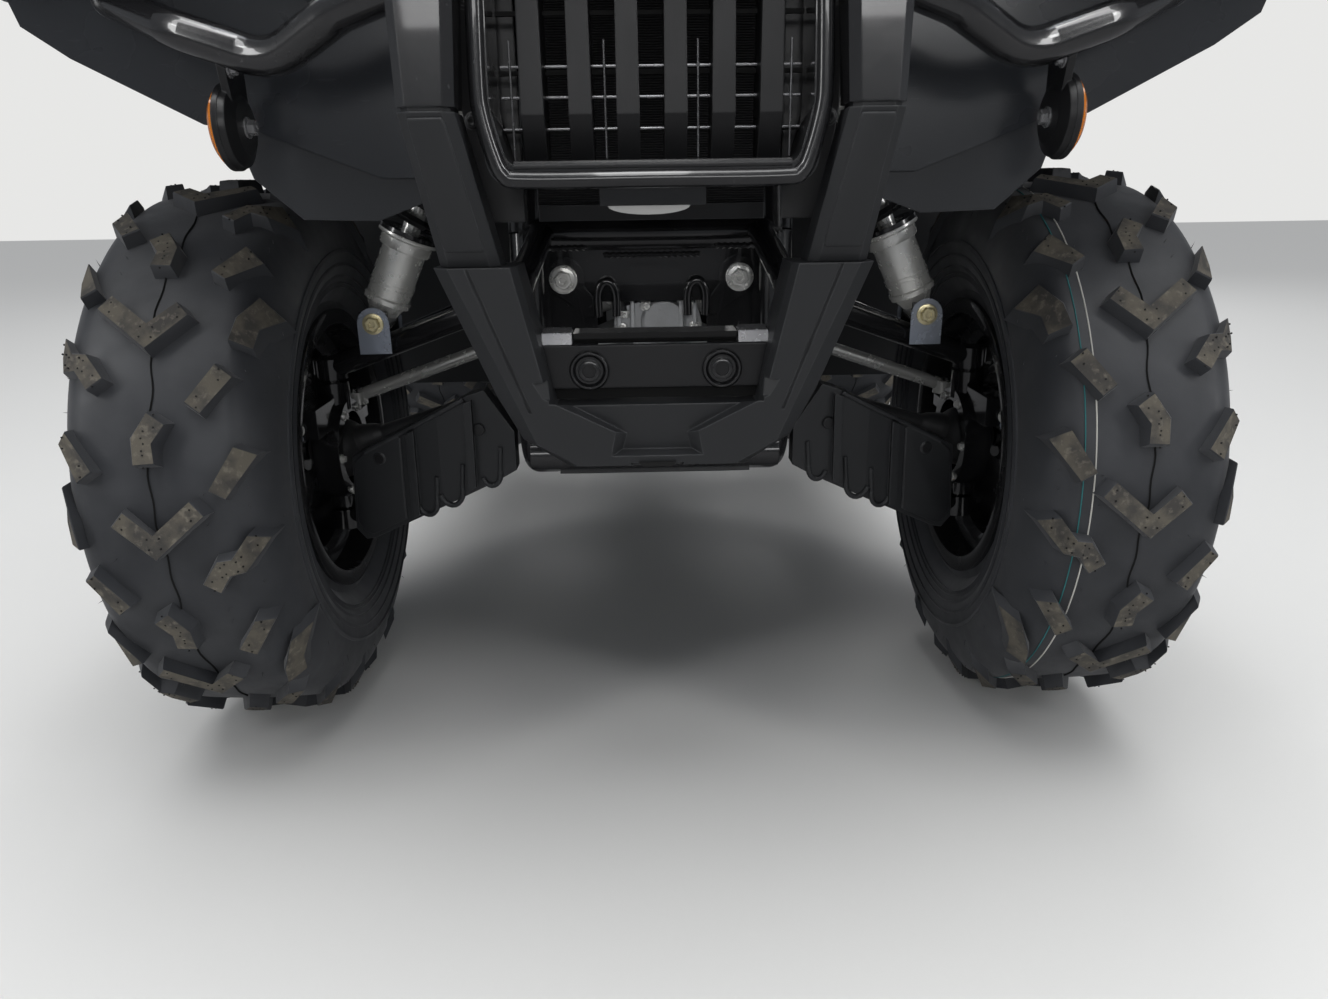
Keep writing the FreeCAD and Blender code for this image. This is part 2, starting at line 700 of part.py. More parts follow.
def make_steering():
    rod_shape = tie_rod()
    piece("tie_rod_left", rod_shape)
    piece("tie_rod_right", mirrored(rod_shape))
    axis, foot = stem_axis(), stem_foot()
    rake = math.radians(size("stem_rake"))
    along = Vector(0, math.cos(rake), -math.sin(rake))
    reach = size("pitman_length")
    side = Vector(size("rod_inner_x") + 10.0, 0, 0)
    hub = Vector(22.0, 0, 0)
    plate = slab([foot - hub - along * 18 - axis * 5, foot + hub - along * 18 - axis * 5,
                  foot + side + along * (reach + 10) - axis * 5,
                  foot - side + along * (reach + 10) - axis * 5], axis * 10.0)
    shapes = [plate, rod(foot - axis * 30, foot + axis * size("stem_length"), size("stem_radius"))]
    for x in (size("rod_inner_x"), -size("rod_inner_x")):
        ball = foot + along * reach + Vector(x, 0, 0)
        shapes.append(rod(ball, ball - axis * 34.0, 4.5))
    piece("steering_stem", joined(shapes))
    top = foot + axis * size("stem_length")
    bar_z = top.z + size("bar_radius") + 10.0
    half = size("bar_half")
    bar_y = top.y - size("front_axle_y")
    points = [at(half, bar_y + 95, bar_z + 58), at(180, bar_y + 30, bar_z + 58), at(95, bar_y, bar_z),
              at(-95, bar_y, bar_z), at(-180, bar_y + 30, bar_z + 58), at(-half, bar_y + 95, bar_z + 58)]
    bar = tube(points, size("bar_radius"), 40.0)
    clamp = block(at(-45, bar_y - 20, top.z), at(45, bar_y + 20, bar_z + 16))
    stem = rod(foot, top, size("stem_radius"))
    piece("handlebar", joined([bar, clamp]).cut(stem))
    grip_dir = (points[0] - points[1]).normalize()
    grip = rod(points[0] - grip_dir * 128, points[0] + grip_dir * 4, 16.5)
    grip = grip.cut(rod(points[0] - grip_dir * 200, points[0], size("bar_radius")))
    piece("grips", both_sides(grip))
    base = points[0] - grip_dir * 150
    mount = rod(base - grip_dir * 14, base + grip_dir * 14, 20.0)
    mount = mount.cut(rod(base - grip_dir * 60, base + grip_dir * 60, size("bar_radius")))
    lever = tube([base + Vector(0, -16, -6), base + grip_dir * 20 + Vector(0, -56, -10),
                  base + grip_dir * 150 + Vector(0, -62, -14)], 5.5, 30.0)
    tank = block(base + Vector(-34, -52, 0), base + Vector(6, -14, 34))
    bar_there = rod(base - grip_dir * 60, base + grip_dir * 60, size("bar_radius"))
    piece("brake_levers", both_sides(joined([mount, lever, tank]).cut(bar_there)))
    pod_y, pod_z = bar_y, bar_z + 2.3
    low, high = pod_z + 14, pod_z + 62
    pod = loft([[at(-62, pod_y - 62, low), at(62, pod_y - 62, low), at(62, pod_y + 40, low),
                 at(-62, pod_y + 40, low)],
                [at(-44, pod_y - 50, high), at(44, pod_y - 50, high), at(44, pod_y + 30, high - 12),
                 at(-44, pod_y + 30, high - 12)]])
    piece("meter_pod", pod)


# Rear suspension

def make_rear_suspension():
    hub_x, axle = size("rear_hub_x"), size("tyre_radius")
    high, low = (rear(hub_x, 0, z) for z in ball_heights("rear"))
    pivot_x = size("rear_pivot_x")
    lower = lower_arm(low, pivot_x, size("rear_lower_pivot_z"))
    upper = upper_arm(high, pivot_x, size("rear_upper_pivot_z"), shock_ends("rear")[0])
    piece("lower_arms_rear", both_sides(lower))
    piece("upper_arms_rear", both_sides(upper))
    across = Vector(1, 0, 0)
    centre = rear(hub_x, 0, axle)
    ring = Part.makeCylinder(58.0, 28.0, centre - across * 14.0, across)
    post = block(rear(hub_x - 12, -22, low.z - 10), rear(hub_x + 12, 22, high.z + 10))
    upright = joined([ring, post]).cut(Part.makeCylinder(44.0, 60.0, centre - across * 30, across))
    piece("uprights_rear", both_sides(biggest(upright.cut(lower).cut(upper))))
    shaft = half_shaft(rear(86, 0, 372), centre)
    inner = Part.makeCylinder(20.0, 22.0, rear(74.3, 0, 372), across)
    piece("half_shafts_rear", both_sides(joined([shaft, inner])))


def make_shocks():
    shapes, coils = [], []
    for end in ("front", "rear"):
        low, high = shock_ends(end)
        damper = shock(low, high, size("spring_radius"))
        shapes += [damper, mirrored(damper)]
        rings = spring_coils(low, high, size("spring_radius"))
        coils += [rings, mirrored(rings)]
    piece("shocks", Part.makeCompound(shapes))
    piece("springs", Part.makeCompound(coils))


# Frame and running gear

def strap(start, end, half, wall):
    """A flat link of steel in an upright plane across the vehicle, from start to end."""
    run = (end - start).normalize()
    side = Vector(run.z, 0, -run.x) * half
    tip = end + run * half
    return slab([start - side, tip - side, tip + side, start + side], Vector(0, wall, 0))


def frame_tubes():
    x, low, top = size("rail_x"), size("rail_z"), size("top_rail_z")
    beam = size("front_beam_z")
    radius = size("frame_tube_radius")
    runs = (
        [at(x - 4, -150, beam), at(x - 4, -168, 335), at(x, 80, low), at(x, 1030, low), at(84, 1150, low),
         rear(84, 122, low + 4), rear(88, 162, 350)],
        [at(x - 4, -150, beam), at(115, -110, 770), at(115, 250, top), at(115, 1000, top - 20),
         rear(115, 250, top)],
        [at(x - 6, 1045, low), at(115, 1080, top - 18)],
        [rear(88, 162, 350), rear(115, 162, top - 5)],
        [at(x, 330, low), at(115, 330, top - 3)],
    )
    sides = [tube(points, radius) for points in runs]
    beams = (
        [at(-x, -150, beam), at(x, -150, beam)],
        [at(-x, -166, 337), at(x, -166, 337)],
        [at(-115, -110, 770), at(115, -110, 770)],
        [at(-x, 122, low), at(x, 122, low)],
        [at(-x, 440, low), at(x, 440, low)],
        [at(-x, 700, low), at(x, 700, low)],
        [at(-x, 1020, low), at(x, 1020, low)],
        [at(-115, 700, top - 12), at(115, 700, top - 12)],
        [rear(-88, 162, 350), rear(88, 162, 350)],
        [rear(-115, 250, top), rear(115, 250, top)],
    )
    shapes = sides + [mirrored(shape) for shape in sides]
    return shapes + [rod(start, end, radius) for start, end in beams]


def shock_towers():
    """The straps that hold the shocks' upper eyes out from the top rails."""
    straps = []
    top = size("top_rail_z")
    for end, rail_z in (("front", top + 52.0), ("rear", top - 10.0)):
        eye = shock_ends(end)[1]
        for ear in (-27.0, 21.0):
            foot = Vector(115, eye.y + ear, rail_z)
            link = strap(foot, Vector(eye.x, eye.y + ear, eye.z), 17.0, 6.0)
            straps += [link, mirrored(link)]
    return straps


def pivot_plates(end_y, low_z, high_z, low_x, high_x, windows, feet):
    """The two upright plates that hold one end's wishbone pivots, cut with windows.

    The feet are the heights of their lower edges, the front plate's first.
    """
    plates = []
    spread, wall = size("arm_spread"), 5.0
    for y, foot in zip((end_y - spread - 29.0, end_y + spread + 24.0), feet):
        outline = [Vector(x, y, z) for x, z in (
            (-78, foot), (78, foot), (low_x + 24, low_z - 20), (low_x + 24, low_z + 22),
            (high_x + 22, high_z - 26), (high_x + 22, high_z + 29), (-high_x - 22, high_z + 29),
            (-high_x - 22, high_z - 26), (-low_x - 24, low_z + 22), (-low_x - 24, low_z - 20))]
        plate = slab(outline, Vector(0, wall, 0))
        for low, high in windows:
            plate = plate.cut(block(Vector(low[0], y - 1, low[1]), Vector(high[0], y + wall + 1, high[1])))
        for x, z in ((low_x, low_z), (high_x, high_z)):
            for side in (-1, 1):
                bore = size("pivot_bolt_radius") + size("running_gap")
                place = Vector(side * x, y - 5, z)
                plate = plate.cut(Part.makeCylinder(bore, 20.0, place, Vector(0, 1, 0)))
        plates.append(plate)
    return plates


def make_frame():
    front, back = size("front_axle_y"), size("front_axle_y") + size("wheel_base")
    plates = pivot_plates(front, size("lower_pivot_z"), size("upper_pivot_z"), size("lower_pivot_x"),
                          size("upper_pivot_x"), (((-56, 372), (56, 484)),), (326.0, size("rail_z")))
    x = size("rear_pivot_x")
    plates += pivot_plates(back, size("rear_lower_pivot_z"), size("rear_upper_pivot_z"), x, x,
                           (((-60, 312), (60, 440)),), (size("rail_z"), 290.0))
    piece("frame", joined(frame_tubes() + shock_towers() + plates + pivot_ears() + [stem_bearing()]))
    bolts = []
    spread, along = size("arm_spread"), Vector(0, 1, 0)
    for y, x, z in arm_pivots():
        for way in (-1, 1):
            start, end = Vector(x, y + way * (spread + 37), z), Vector(x, y + way * (spread - 37.3), z)
            head = along * way * 7.5
            bolt = joined([rod(start, end, size("pivot_bolt_radius")), rod(start, start - head, 11.0),
                           rod(end, end + head, 11.0)])
            bolts += [bolt, mirrored(bolt)]
    piece("arm_bolts", Part.makeCompound(bolts))


def arm_pivots():
    """The left wishbone pivots: the axle's place along Y, then x and z."""
    front, back = size("front_axle_y"), size("front_axle_y") + size("wheel_base")
    return ((front, size("upper_pivot_x"), size("upper_pivot_z")),
            (front, size("lower_pivot_x"), size("lower_pivot_z")),
            (back, size("rear_pivot_x"), size("rear_upper_pivot_z")),
            (back, size("rear_pivot_x"), size("rear_lower_pivot_z")))


def pivot_ears():
    """The inner ear behind each pivot barrel, and the strap that joins it to the outer plate."""
    shapes = []
    spread, along = size("arm_spread"), Vector(0, 1, 0)
    hole = size("pivot_bolt_radius") + size("running_gap")
    for y, x, z in arm_pivots():
        for way in (-1, 1):
            inner, outer = y + way * (spread - 24.5), y + way * (spread + 26.0)
            far = inner - way * 5.0
            ear = block(Vector(x - 27, min(inner, far), z - 16), Vector(x + 13, max(inner, far), z + 16))
            ear = ear.cut(Part.makeCylinder(hole, 40.0, Vector(x, inner - 20, z), along))
            link = block(Vector(x - 27, min(far, outer), z - 16), Vector(x - 22, max(far, outer), z + 16))
            side = joined([ear, link])
            shapes += [side, mirrored(side)]
    return shapes


def stem_bearing():
    """The block that holds the foot of the steering stem, on its own cross tube."""
    foot, axis = stem_foot(), stem_axis()
    low = foot - axis * 34.0
    sleeve = rod(low, low + axis * 24.0, 26.0)
    ahead = Vector(0, -axis.z, axis.y)
    beam = low + axis * 12.0 + ahead * 26.0
    across = Vector(40, 0, 0)
    plate_y = size("front_axle_y") - size("arm_spread") - 25.0
    shapes = [sleeve, rod(beam - across, beam + across, 8.0)]
    for end in (beam - across, beam + across):
        shapes.append(rod(Vector(end.x, plate_y, end.z), end, 8.0))
    return joined(shapes).cut(rod(low - axis * 10, foot, size("stem_radius") + size("running_gap")))


def make_drive():
    front = joined([
        turned(((-70, 0), (-70, 34), (-40, 46), (-20, 66), (20, 66), (40, 46), (70, 34), (70, 0)),
               at(0, -35, 410)),
        turned(((-35, 0), (-35, 40), (40, 34), (92, 24), (92, 0)), at(0, 0, 410), Vector(0, 1, 0))])
    lugs = [block(at(-30, -119.7, 346), at(30, -60, 366)), block(at(-30, 10, 346), at(30, 119.7, 366))]
    piece("front_differential", joined([front] + lugs))
    back = joined([
        turned(((-74, 0), (-74, 36), (-44, 50), (-24, 84), (24, 84), (44, 50), (74, 36), (74, 0)),
               rear(0, 0, 372)),
        turned(((-150, 0), (-150, 26), (-60, 40), (0, 60), (0, 0)), rear(0, 0, 372), Vector(0, 1, 0))])
    lugs = [block(rear(-30, low, 290), rear(30, high, 308)) for low, high in ((-119.7, -50), (50, 119.7))]
    piece("rear_differential", joined([back] + lugs))
    along = Vector(0, 1, 0)
    ahead = bound_cylinder("FrontShaft", along, "13", "300.9", "0", "front_axle_y + 92.5", "410")
    behind = bound_cylinder("RearShaft", along, "15", "wheel_base - 1020.6", "0",
                            "front_axle_y + 870.3", "372")
    shafts = doc.addObject("Part::Compound", "drive_shafts")
    shafts.Links = [ahead, behind]
    finished("drive_shafts", shafts)


def make_engine():
    case = block(at(-100, 394, 300), at(100, 870, 470))
    deck = block(at(-80, 440, 470), at(80, 700, 520))
    fins = []
    lean = Vector(0, 0.12, 1).normalize()
    base = at(0, 560, 520)
    for step in range(7):
        centre = base + lean * (14.0 + 17.0 * step)
        fins.append(block(centre - Vector(76, 74, 3), centre + Vector(76, 74, 3)))
    barrel = block(base - Vector(56, 56, 1), base + Vector(56, 72, 150))
    head = block(base + Vector(-66, -52, 140), base + Vector(66, 84, 172))
    cover_left = turned(((99, 0), (99, 92), (150, 86), (168, 70), (172, 0)), at(0, 480, 400))
    cover_rear = turned(((99, 0), (99, 92), (150, 88), (172, 74), (176, 0)), at(0, 740, 395))
    cover_right = turned(((-99, 0), (-99, 100), (-140, 96), (-160, 70), (-164, 0)), at(0, 600, 412))
    feet = [block(at(-60, y - 10, 278.3), at(60, y + 10, 302)) for y in (440, 700)]
    port = Part.makeCylinder(26.0, 24.0, at(-30, 481, 600), Vector(0, 1, 0))
    engine = joined([case, deck, barrel, port, head, cover_left, cover_rear, cover_right] + fins + feet)
    piece("engine", engine)


def make_exhaust():
    pipe = tube([at(-30, 480.7, 600), at(-30, 408, 600), at(-178, 430, 560), at(-182, 760, 545),
                 at(-150, 905, 560), at(-32, 1010, 585), at(-32, 1060, 585)], 19.0, 50.0)
    muffler = turned(((0, 0), (0, 20), (30, 58), (330, 58), (350, 40), (380, 36), (380, 22), (374, 22),
                      (374, 0)), at(-32, 1050, 585), Vector(0, 1, 0))
    hanger = block(at(-106, 1420, 575), at(-60, 1429, 595))
    frame_side = mirrored(Part.makeCompound(frame_tubes()))
    piece("exhaust", joined([pipe, muffler, hanger]).cut(frame_side))


def make_skid_plate():
    """A bent sheet under the engine, its nose turned up in front."""
    body = doc.addObject("PartDesign::Body", "skid_plate")
    under = "rail_z - frame_tube_radius - running_gap"
    tail = "front_axle_y + wheel_base - 50"
    sketch = outline_sketch(body, "YZ_Plane", (
        ("front_axle_y - 140", under + " + 62"), ("front_axle_y + 84", under + " - skid_wall"),
        (tail, under + " - skid_wall"), (tail, under), ("front_axle_y + 84.8", under),
        ("front_axle_y - 138.4", under + " + 66.8")))
    pad = body.newObject("PartDesign::Pad", "Sheet")
    pad.Profile = sketch
    pad.Length = 200.0
    pad.Midplane = True
    finished("skid_plate", body)


def make_footwells():
    """Foot tray on each side with its front and rear splash walls and a peg."""
    wall = size("body_wall")
    low, rail_x, rail_z = size("footwell_z"), size("rail_x"), size("rail_z")
    floor = block(at(150, 420, low), at(420, 860, low + wall))
    walls = []
    for foot_y, top_y, thickness in ((420, 350, wall), (860, 935, -wall)):
        corners = [at(190, foot_y, low), at(420, foot_y, low), at(500, top_y, 560), at(200, top_y, 560)]
        walls.append(slab(corners, Vector(0, thickness, 0)))
    peg = block(at(188, 620, low + wall), at(400, 670, low + 30))
    for step in range(9):
        notch = at(200 + 22 * step, 618, low + 22)
        peg = peg.cut(block(notch, notch + Vector(11, 54, 10)))
    stay = rod(at(rail_x + 3, 560, rail_z + 1), at(300, 560, low - 16), 11.0)
    riser = rod(at(290, 560, low - 16), at(290, 560, low + 1), 11.0)
    rail = rod(at(rail_x, 300, rail_z), at(rail_x, 900, rail_z), size("frame_tube_radius"))
    shapes = joined([floor, peg, stay.cut(rail), riser] + walls)
    piece("footwells", both_sides(shapes))


# Nose

def guard_face(corners, back=0.0):
    """Points on the lower guard's leaning face, or so far behind it; corners are (x, z)."""
    return [at(x, -392 + (538 - z) * 0.22 + back, z) for x, z in corners]


def lower_guard_shape():
    """The U-shaped guard under the grille: tapering legs with bevelled edges and a sunk chin."""
    right = [(150, 538), (112, 440), (96, 398), (64, 378)]
    inner = [(84, 432), (105, 538)]
    outline = right + [(-x, z) for x, z in reversed(right)]
    outline = [(-105, 538), (-84, 432), (84, 432), (105, 538)] + outline
    wide = [(162, 538), (126, 438), (108, 400), (72, 375)]
    base = [(-101, 538), (-80, 428), (80, 428), (101, 538)] + wide + [(-x, z) for x, z in reversed(wide)]
    front = loft([guard_face(outline), guard_face(base, 12.0)])
    body = slab(guard_face(base, 12.0), Vector(0, 46, 0))
    sunk = [(-97, 450), (97, 450), (90, 437), (34, 408), (38, 386), (-38, 386), (-34, 408), (-90, 437)]
    deep = [(-84, 450), (84, 450), (76, 434), (24, 404), (28, 390), (-28, 390), (-24, 404), (-76, 434)]
    chin = loft([guard_face(sunk, -1.0), guard_face(deep, 10.0)])
    lip = [(-22, 380), (22, 380), (18, 374), (-18, 374)]
    guard = joined([front, body]).cut(chin).cut(slab(guard_face(lip, -1.0), Vector(0, 8, 0)))
    seam = [(136, 540), (138.5, 540), (100.5, 425), (98, 425)]
    for side in (1, -1):
        line = slab(guard_face([(side * x, z) for x, z in seam], -1.0), Vector(0, 2.5, 0))
        guard = guard.cut(line)
    return guard


def make_lower_guard():
    guard = lower_guard_shape()
    piece("lower_guard", guard)
    plate = rounded([at(-100, -346, 440), at(100, -346, 440), at(104, -346, 474), at(-104, -346, 474)], 5.0)
    plate = plate.extrude(Vector(0, 6, 0))
    for x in (-53, 53):
        sink = Part.makeCylinder(16.0, 3.0, at(x, -346, 454), Vector(0, 1, 0))
        head = Part.makeCylinder(9.0, 5.0, at(x, -348, 454), Vector(0, 1, 0))
        plate = plate.cut(sink).fuse(head)
    piece("guard_plate", biggest(plate.cut(guard)))


def bumper_leg():
    """The left upper leg of the bumper, beside the grille, with the line between its two parts."""
    rows = (
        # inner x, outer x, front, height
        (113, 157, -384, 538.3), (131, 169, -424, 640), (127, 170, -424, 706), (120, 160, -400, 800))
    leg = loft([bevelled(low, high, front, 44.0, z, 7.0) for low, high, front, z in rows])
    around = block(at(120, -440, 640.5), at(180, -370, 643.5))
    core = loft([bevelled(133.5, 166.5, -421.5, 39.0, z, 6.0) for z in (640.0, 644.0)])
    return leg.cut(around.cut(core))


def high_stay():
    """The left stay from the frame's front top beam to a bumper leg."""
    return tube([at(112, -126.5, 762), at(128, -250, 762), at(140, -362, 762)], 12.0, 40.0)


def make_bumper():
    """The upper bumper legs and the stays that carry the whole bumper on the frame."""
    stay_low = tube([at(104, -168, 552), at(112, -260, 520), at(112, -345, 500)], 12.0, 40.0)
    piece("bumper_legs", both_sides(bumper_leg()))
    piece("bumper_stays", both_sides(biggest(stay_low.cut(lower_guard_shape()))))
    piece("bumper_stays_high", both_sides(high_stay()))


def make_grille():
    bars = []
    for step in range(6):
        x = -82.5 + 33.0 * step
        rows = ((8, -372, 603), (8, -392, 640), (7, -392, 790))
        bars.append(loft([[at(x - half, front, z), at(x + half, front, z), at(x + half, -350, z),
                           at(x - half, -350, z)] for half, front, z in rows]))
    right = ((112, 594), (121, 640), (119, 707), (115, 800))
    outline = [at(x, -402, z) for x, z in right] + [at(-x, -402, z) for x, z in reversed(right)]
    right = ((100, 606), (110, 645), (109, 707), (106, 788))
    window = [at(x, -403, z) for x, z in right] + [at(-x, -403, z) for x, z in reversed(right)]
    opening = rounded(window, 12.0).extrude(Vector(0, 60, 0))
    surround = rounded(outline, 16.0).extrude(Vector(0, 52, 0)).cut(opening)
    top = block(at(-119.7, -392, 786), at(119.7, -340, 800))
    louvres = [block(at(-108, -362, z), at(108, -358, z + 3)) for z in (630, 668, 706, 744)]
    piece("grille", joined(bars + [surround, top] + louvres))
    core = block(at(-96, -250, 574), at(96, -205, 780))
    lugs = [block(at(90, -245, 752), at(126, -225, 768)), block(at(-126, -245, 752), at(-90, -225, 768))]
    piece("radiator", joined([core] + lugs).cut(high_stay()).cut(mirrored(high_stay())))


def brush_tube(radius):
    """The left half of the guard tube that sweeps from a bumper leg under the headlight to the fender."""
    return tube([at(150, -402, 724), at(220, -350, 712), at(280, -320, 684), at(355, -300, 709),
                 at(424, -250, 739), at(474, -160, 757)], radius, 60.0)


def make_lamps():
    lamp = loft([[at(205, -325, 745), at(345, -325, 765), at(360, -325, 808), at(205, -325, 818)],
                 [at(212, -250, 750), at(352, -250, 768), at(366, -250, 824), at(212, -250, 828)]])
    for feature in pieces:
        if feature.Label == "front_fenders":
            lamp = lamp.cut(feature.Shape)
    piece("headlights", both_sides(lamp))
    tube_shape = brush_tube(size("guard_tube_radius")).cut(bumper_leg())
    piece("brush_guard", both_sides(biggest(tube_shape)))
    x = 328
    amber = turned(((0.3, 0), (0.3, 29), (6, 29), (9, 25), (11, 0)), at(x, -290, 641))
    piece("reflectors", both_sides(amber))
    cup = turned(((-11, 0), (-11, 20), (-6, 30), (0, 32), (0, 0)), at(x, -290, 641))
    hanger = slab([at(x - 9, -318, 700), at(x - 9, -276, 702), at(x - 9, -276, 650), at(x - 9, -304, 650)],
                  Vector(6, 0, 0))
    piece("reflector_brackets", both_sides(biggest(joined([cup, hanger]).cut(tube_shape))))
    lamp_box = bound_box("TailLampBox", ("-60", "120"), ("front_axle_y + 1640.3", "23.7"), ("806", "44"))
    rounded_lamp = doc.addObject("Part::Fillet", "tail_lamp")
    rounded_lamp.Base = lamp_box
    doc.recompute()
    rim = [(i, 6.0, 6.0) for i, edge in enumerate(lamp_box.Shape.Edges, start=1)
           if abs(edge.tangentAt(0).y) > 0.9]
    rounded_lamp.Edges = rim
    finished("tail_lamp", rounded_lamp)


def shell(rows, wall):
    """A thin ruled shell; each row is (from the front axle, ((x, z), ...)) from the middle outwards."""
    sections = []
    for from_axle, points in rows:
        upper = [at(x, from_axle, z) for x, z in points]
        lower = [at(x - wall * 0.3, from_axle, z - wall) for x, z in reversed(points)]
        sections.append(upper + lower)
    return loft(sections, False)


def rail_top(from_axle):
    """Height of a seat just over the frame's top rails, a place counted from the front axle."""
    top = size("top_rail_z")
    if from_axle < 250:
        line = top + 70.0 * (250 - from_axle) / 360
    elif from_axle < 1000:
        line = top - 20.0 * (from_axle - 250) / 750
    else:
        line = top - 20.0 + 20.0 * (from_axle - 1000) / 530
    return line + size("frame_tube_radius") + 1.0


def make_bodywork():
    wall = size("body_wall")
    hood_rows = (
        (-395, 130, 812, 830), (-250, 190, 826, 862), (-80, 196, 838, 905), (90, 190, 850, 935),
        (190, 150, 860, 950))
    sections = [[at(-wide, y, low), at(-wide * 0.7, y, high), at(wide * 0.7, y, high), at(wide, y, low)]
                for y, wide, low, high in hood_rows]
    passage = rod(stem_foot(), stem_foot() + stem_axis() * 900, 32.0)
    hood = loft(sections, False)
    hood = hood.cut(passage)
    for post in front_rack_posts(size("rack_tube_radius") * 0.8 + size("running_gap")):
        hood = hood.cut(post)
    piece("front_cover", hood)
    tank_rows = ((190.3, 150, 940), (330, 165, 935), (470, 150, 905), (600, 120, 868))
    sections = [[at(-wide, y, rail_top(y)), at(-wide * 0.95, y, high - 60), at(-wide * 0.6, y, high),
                 at(wide * 0.6, y, high), at(wide * 0.95, y, high - 60), at(wide, y, rail_top(y))]
                for y, wide, high in tank_rows]
    tank = loft(sections, False)
    cap_place, cap_axis = at(0, 455, 908.6), Vector(0, 0.21, 1).normalize()
    gap = size("running_gap")
    recess = turned(((-gap, 0), (-gap, 38 + gap), (60, 38 + gap), (60, 0)), cap_place, cap_axis)
    tank = tank.cut(passage).cut(recess)
    piece("tank_cover", tank)
    cap = turned(((0, 0), (0, 38), (22, 38), (28, 32), (28, 0)), cap_place, cap_axis)
    piece("fuel_cap", cap)
    seat_rows = ((600.3, 95, 862), (720, 130, 848), (860, 165, 852), (1000, 175, 885), (1140, 170, 885))
    sections = [[at(-wide, y, rail_top(y)), at(-wide, y, high - 40), at(-wide * 0.75, y, high),
                 at(wide * 0.75, y, high), at(wide, y, high - 40), at(wide, y, rail_top(y))]
                for y, wide, high in seat_rows]
    seat = loft(sections)
    piece("seat", seat)
    front = shell((
        (-300, ((150, 826), (300, 828), (420, 800), (500, 765))),
        (-200, ((150, 836), (320, 846), (450, 822), (540, 752))),
        (0, ((150, 850), (340, 862), (480, 842), (575, 770))),
        (200, ((140, 862), (340, 845), (490, 815), (585, 735))),
        (330, ((140, 780), (340, 750), (480, 725), (565, 660))),
        (380, ((180, 640), (340, 620), (470, 600), (540, 560))),
    ), wall)
    lip = ((190, 603), (228, 603), (330, 642), (371, 647), (470, 698), (505, 722), (516, 757), (435, 811),
           (310, 836), (200, 832))
    wall_piece = slab([at(x, -242, z) for x, z in lip], Vector(0, wall, 0))
    front = joined([front, wall_piece]).cut(brush_tube(size("guard_tube_radius") + size("running_gap")))
    front = biggest(front.cut(hood).cut(tank))
    piece("front_fenders", both_sides(front))
    reach = size("tyre_radius") + size("arch_gap")
    hollow = Part.makeCylinder(reach, 180.0, at(200, 0, size("tyre_radius")), Vector(1, 0, 0))
    liner = Part.makeCylinder(reach + 3.0, 170.0, at(205, 0, size("tyre_radius")), Vector(1, 0, 0))
    liner = liner.cut(hollow)
    low = size("tyre_radius") + 256
    liner = liner.common(block(at(238, -202, low), at(380, 330, low + 200)))
    wall_rows = ((-202, low), (330, low), (330, 760), (200, 850), (0, 880), (-202, 862))
    splash = slab([at(238, y, z) for y, z in wall_rows], Vector(3, 0, 0))
    splash = splash.cut(hollow)
    piece("arch_liners", both_sides(biggest(joined([liner, splash]).cut(front))))
    rear_shell = shell((
        (960, ((170, 640), (340, 630), (480, 610), (560, 560))),
        (1000, ((170, 760), (340, 755), (500, 735), (585, 670))),
        (1100, ((180, 845), (340, 842), (510, 820), (597, 745))),
        (1300, ((180, 868), (340, 864), (515, 840), (599, 765))),
        (1500, ((180, 862), (340, 858), (510, 825), (590, 745))),
        (1640, ((180, 850), (340, 840), (480, 790), (540, 700))),
    ), wall)
    deck = loft([[at(-184, 1150, 836), at(184, 1150, 836), at(184, 1150, 848), at(-184, 1150, 848)],
                 [at(-184, 1640, 840), at(184, 1640, 840), at(184, 1640, 852), at(-184, 1640, 852)]])
    cover = joined([rear_shell, mirrored(rear_shell), deck])
    for post in rear_rack_posts(size("rack_tube_radius") + size("running_gap")):
        cover = cover.cut(post)
    piece("rear_fenders", cover.cut(seat))


# Racks and hitch

def rack(low_y, high_y, half, z, rails, radius):
    """A luggage rack: a bent outer tube and straight rails that end in it."""
    outline = [at(0, low_y, z), at(half, low_y, z), at(half, high_y, z), at(-half, high_y, z),
               at(-half, low_y, z), at(0, low_y, z)]
    shapes = [tube(outline, radius, 50.0)]
    for step in range(rails):
        x = -half + 2 * half * (step + 1) / (rails + 1)
        shapes.append(rod(at(x, low_y, z), at(x, high_y, z), radius * 0.7))
    return shapes


def front_rack_posts(radius):
    """The posts of the front rack, down to the bumper legs and the frame's front top beam."""
    z = size("front_rack_z")
    posts = []
    for side in (-1, 1):
        posts.append(rod(at(side * 140, -330, z), at(side * 140, -380, 798), radius))
        posts.append(rod(at(side * 100, -110, z), at(side * 100, -110, 775), radius))
    return posts


def rear_rack_posts(radius):
    """The posts of the rear rack, down to the frame's rear top beam."""
    z, foot = size("rear_rack_z"), size("top_rail_z")
    return [rod(at(x, 1690, z), rear(x, 258, foot + 8), radius) for x in (-95, 95)]


def make_racks():
    radius = size("rack_tube_radius")
    z = size("front_rack_z")
    shapes = rack(-330, 90, 330, z, 5, radius)
    shapes += front_rack_posts(radius * 0.8)
    legs = Part.makeCompound([bumper_leg(), mirrored(bumper_leg())] + frame_tubes())
    piece("front_rack", joined(shapes).cut(legs))
    z = size("rear_rack_z")
    shapes = rack(1180, 1700, 350, z, 6, radius)
    shapes += rear_rack_posts(radius)
    piece("rear_rack", joined(shapes).cut(Part.makeCompound(frame_tubes())))


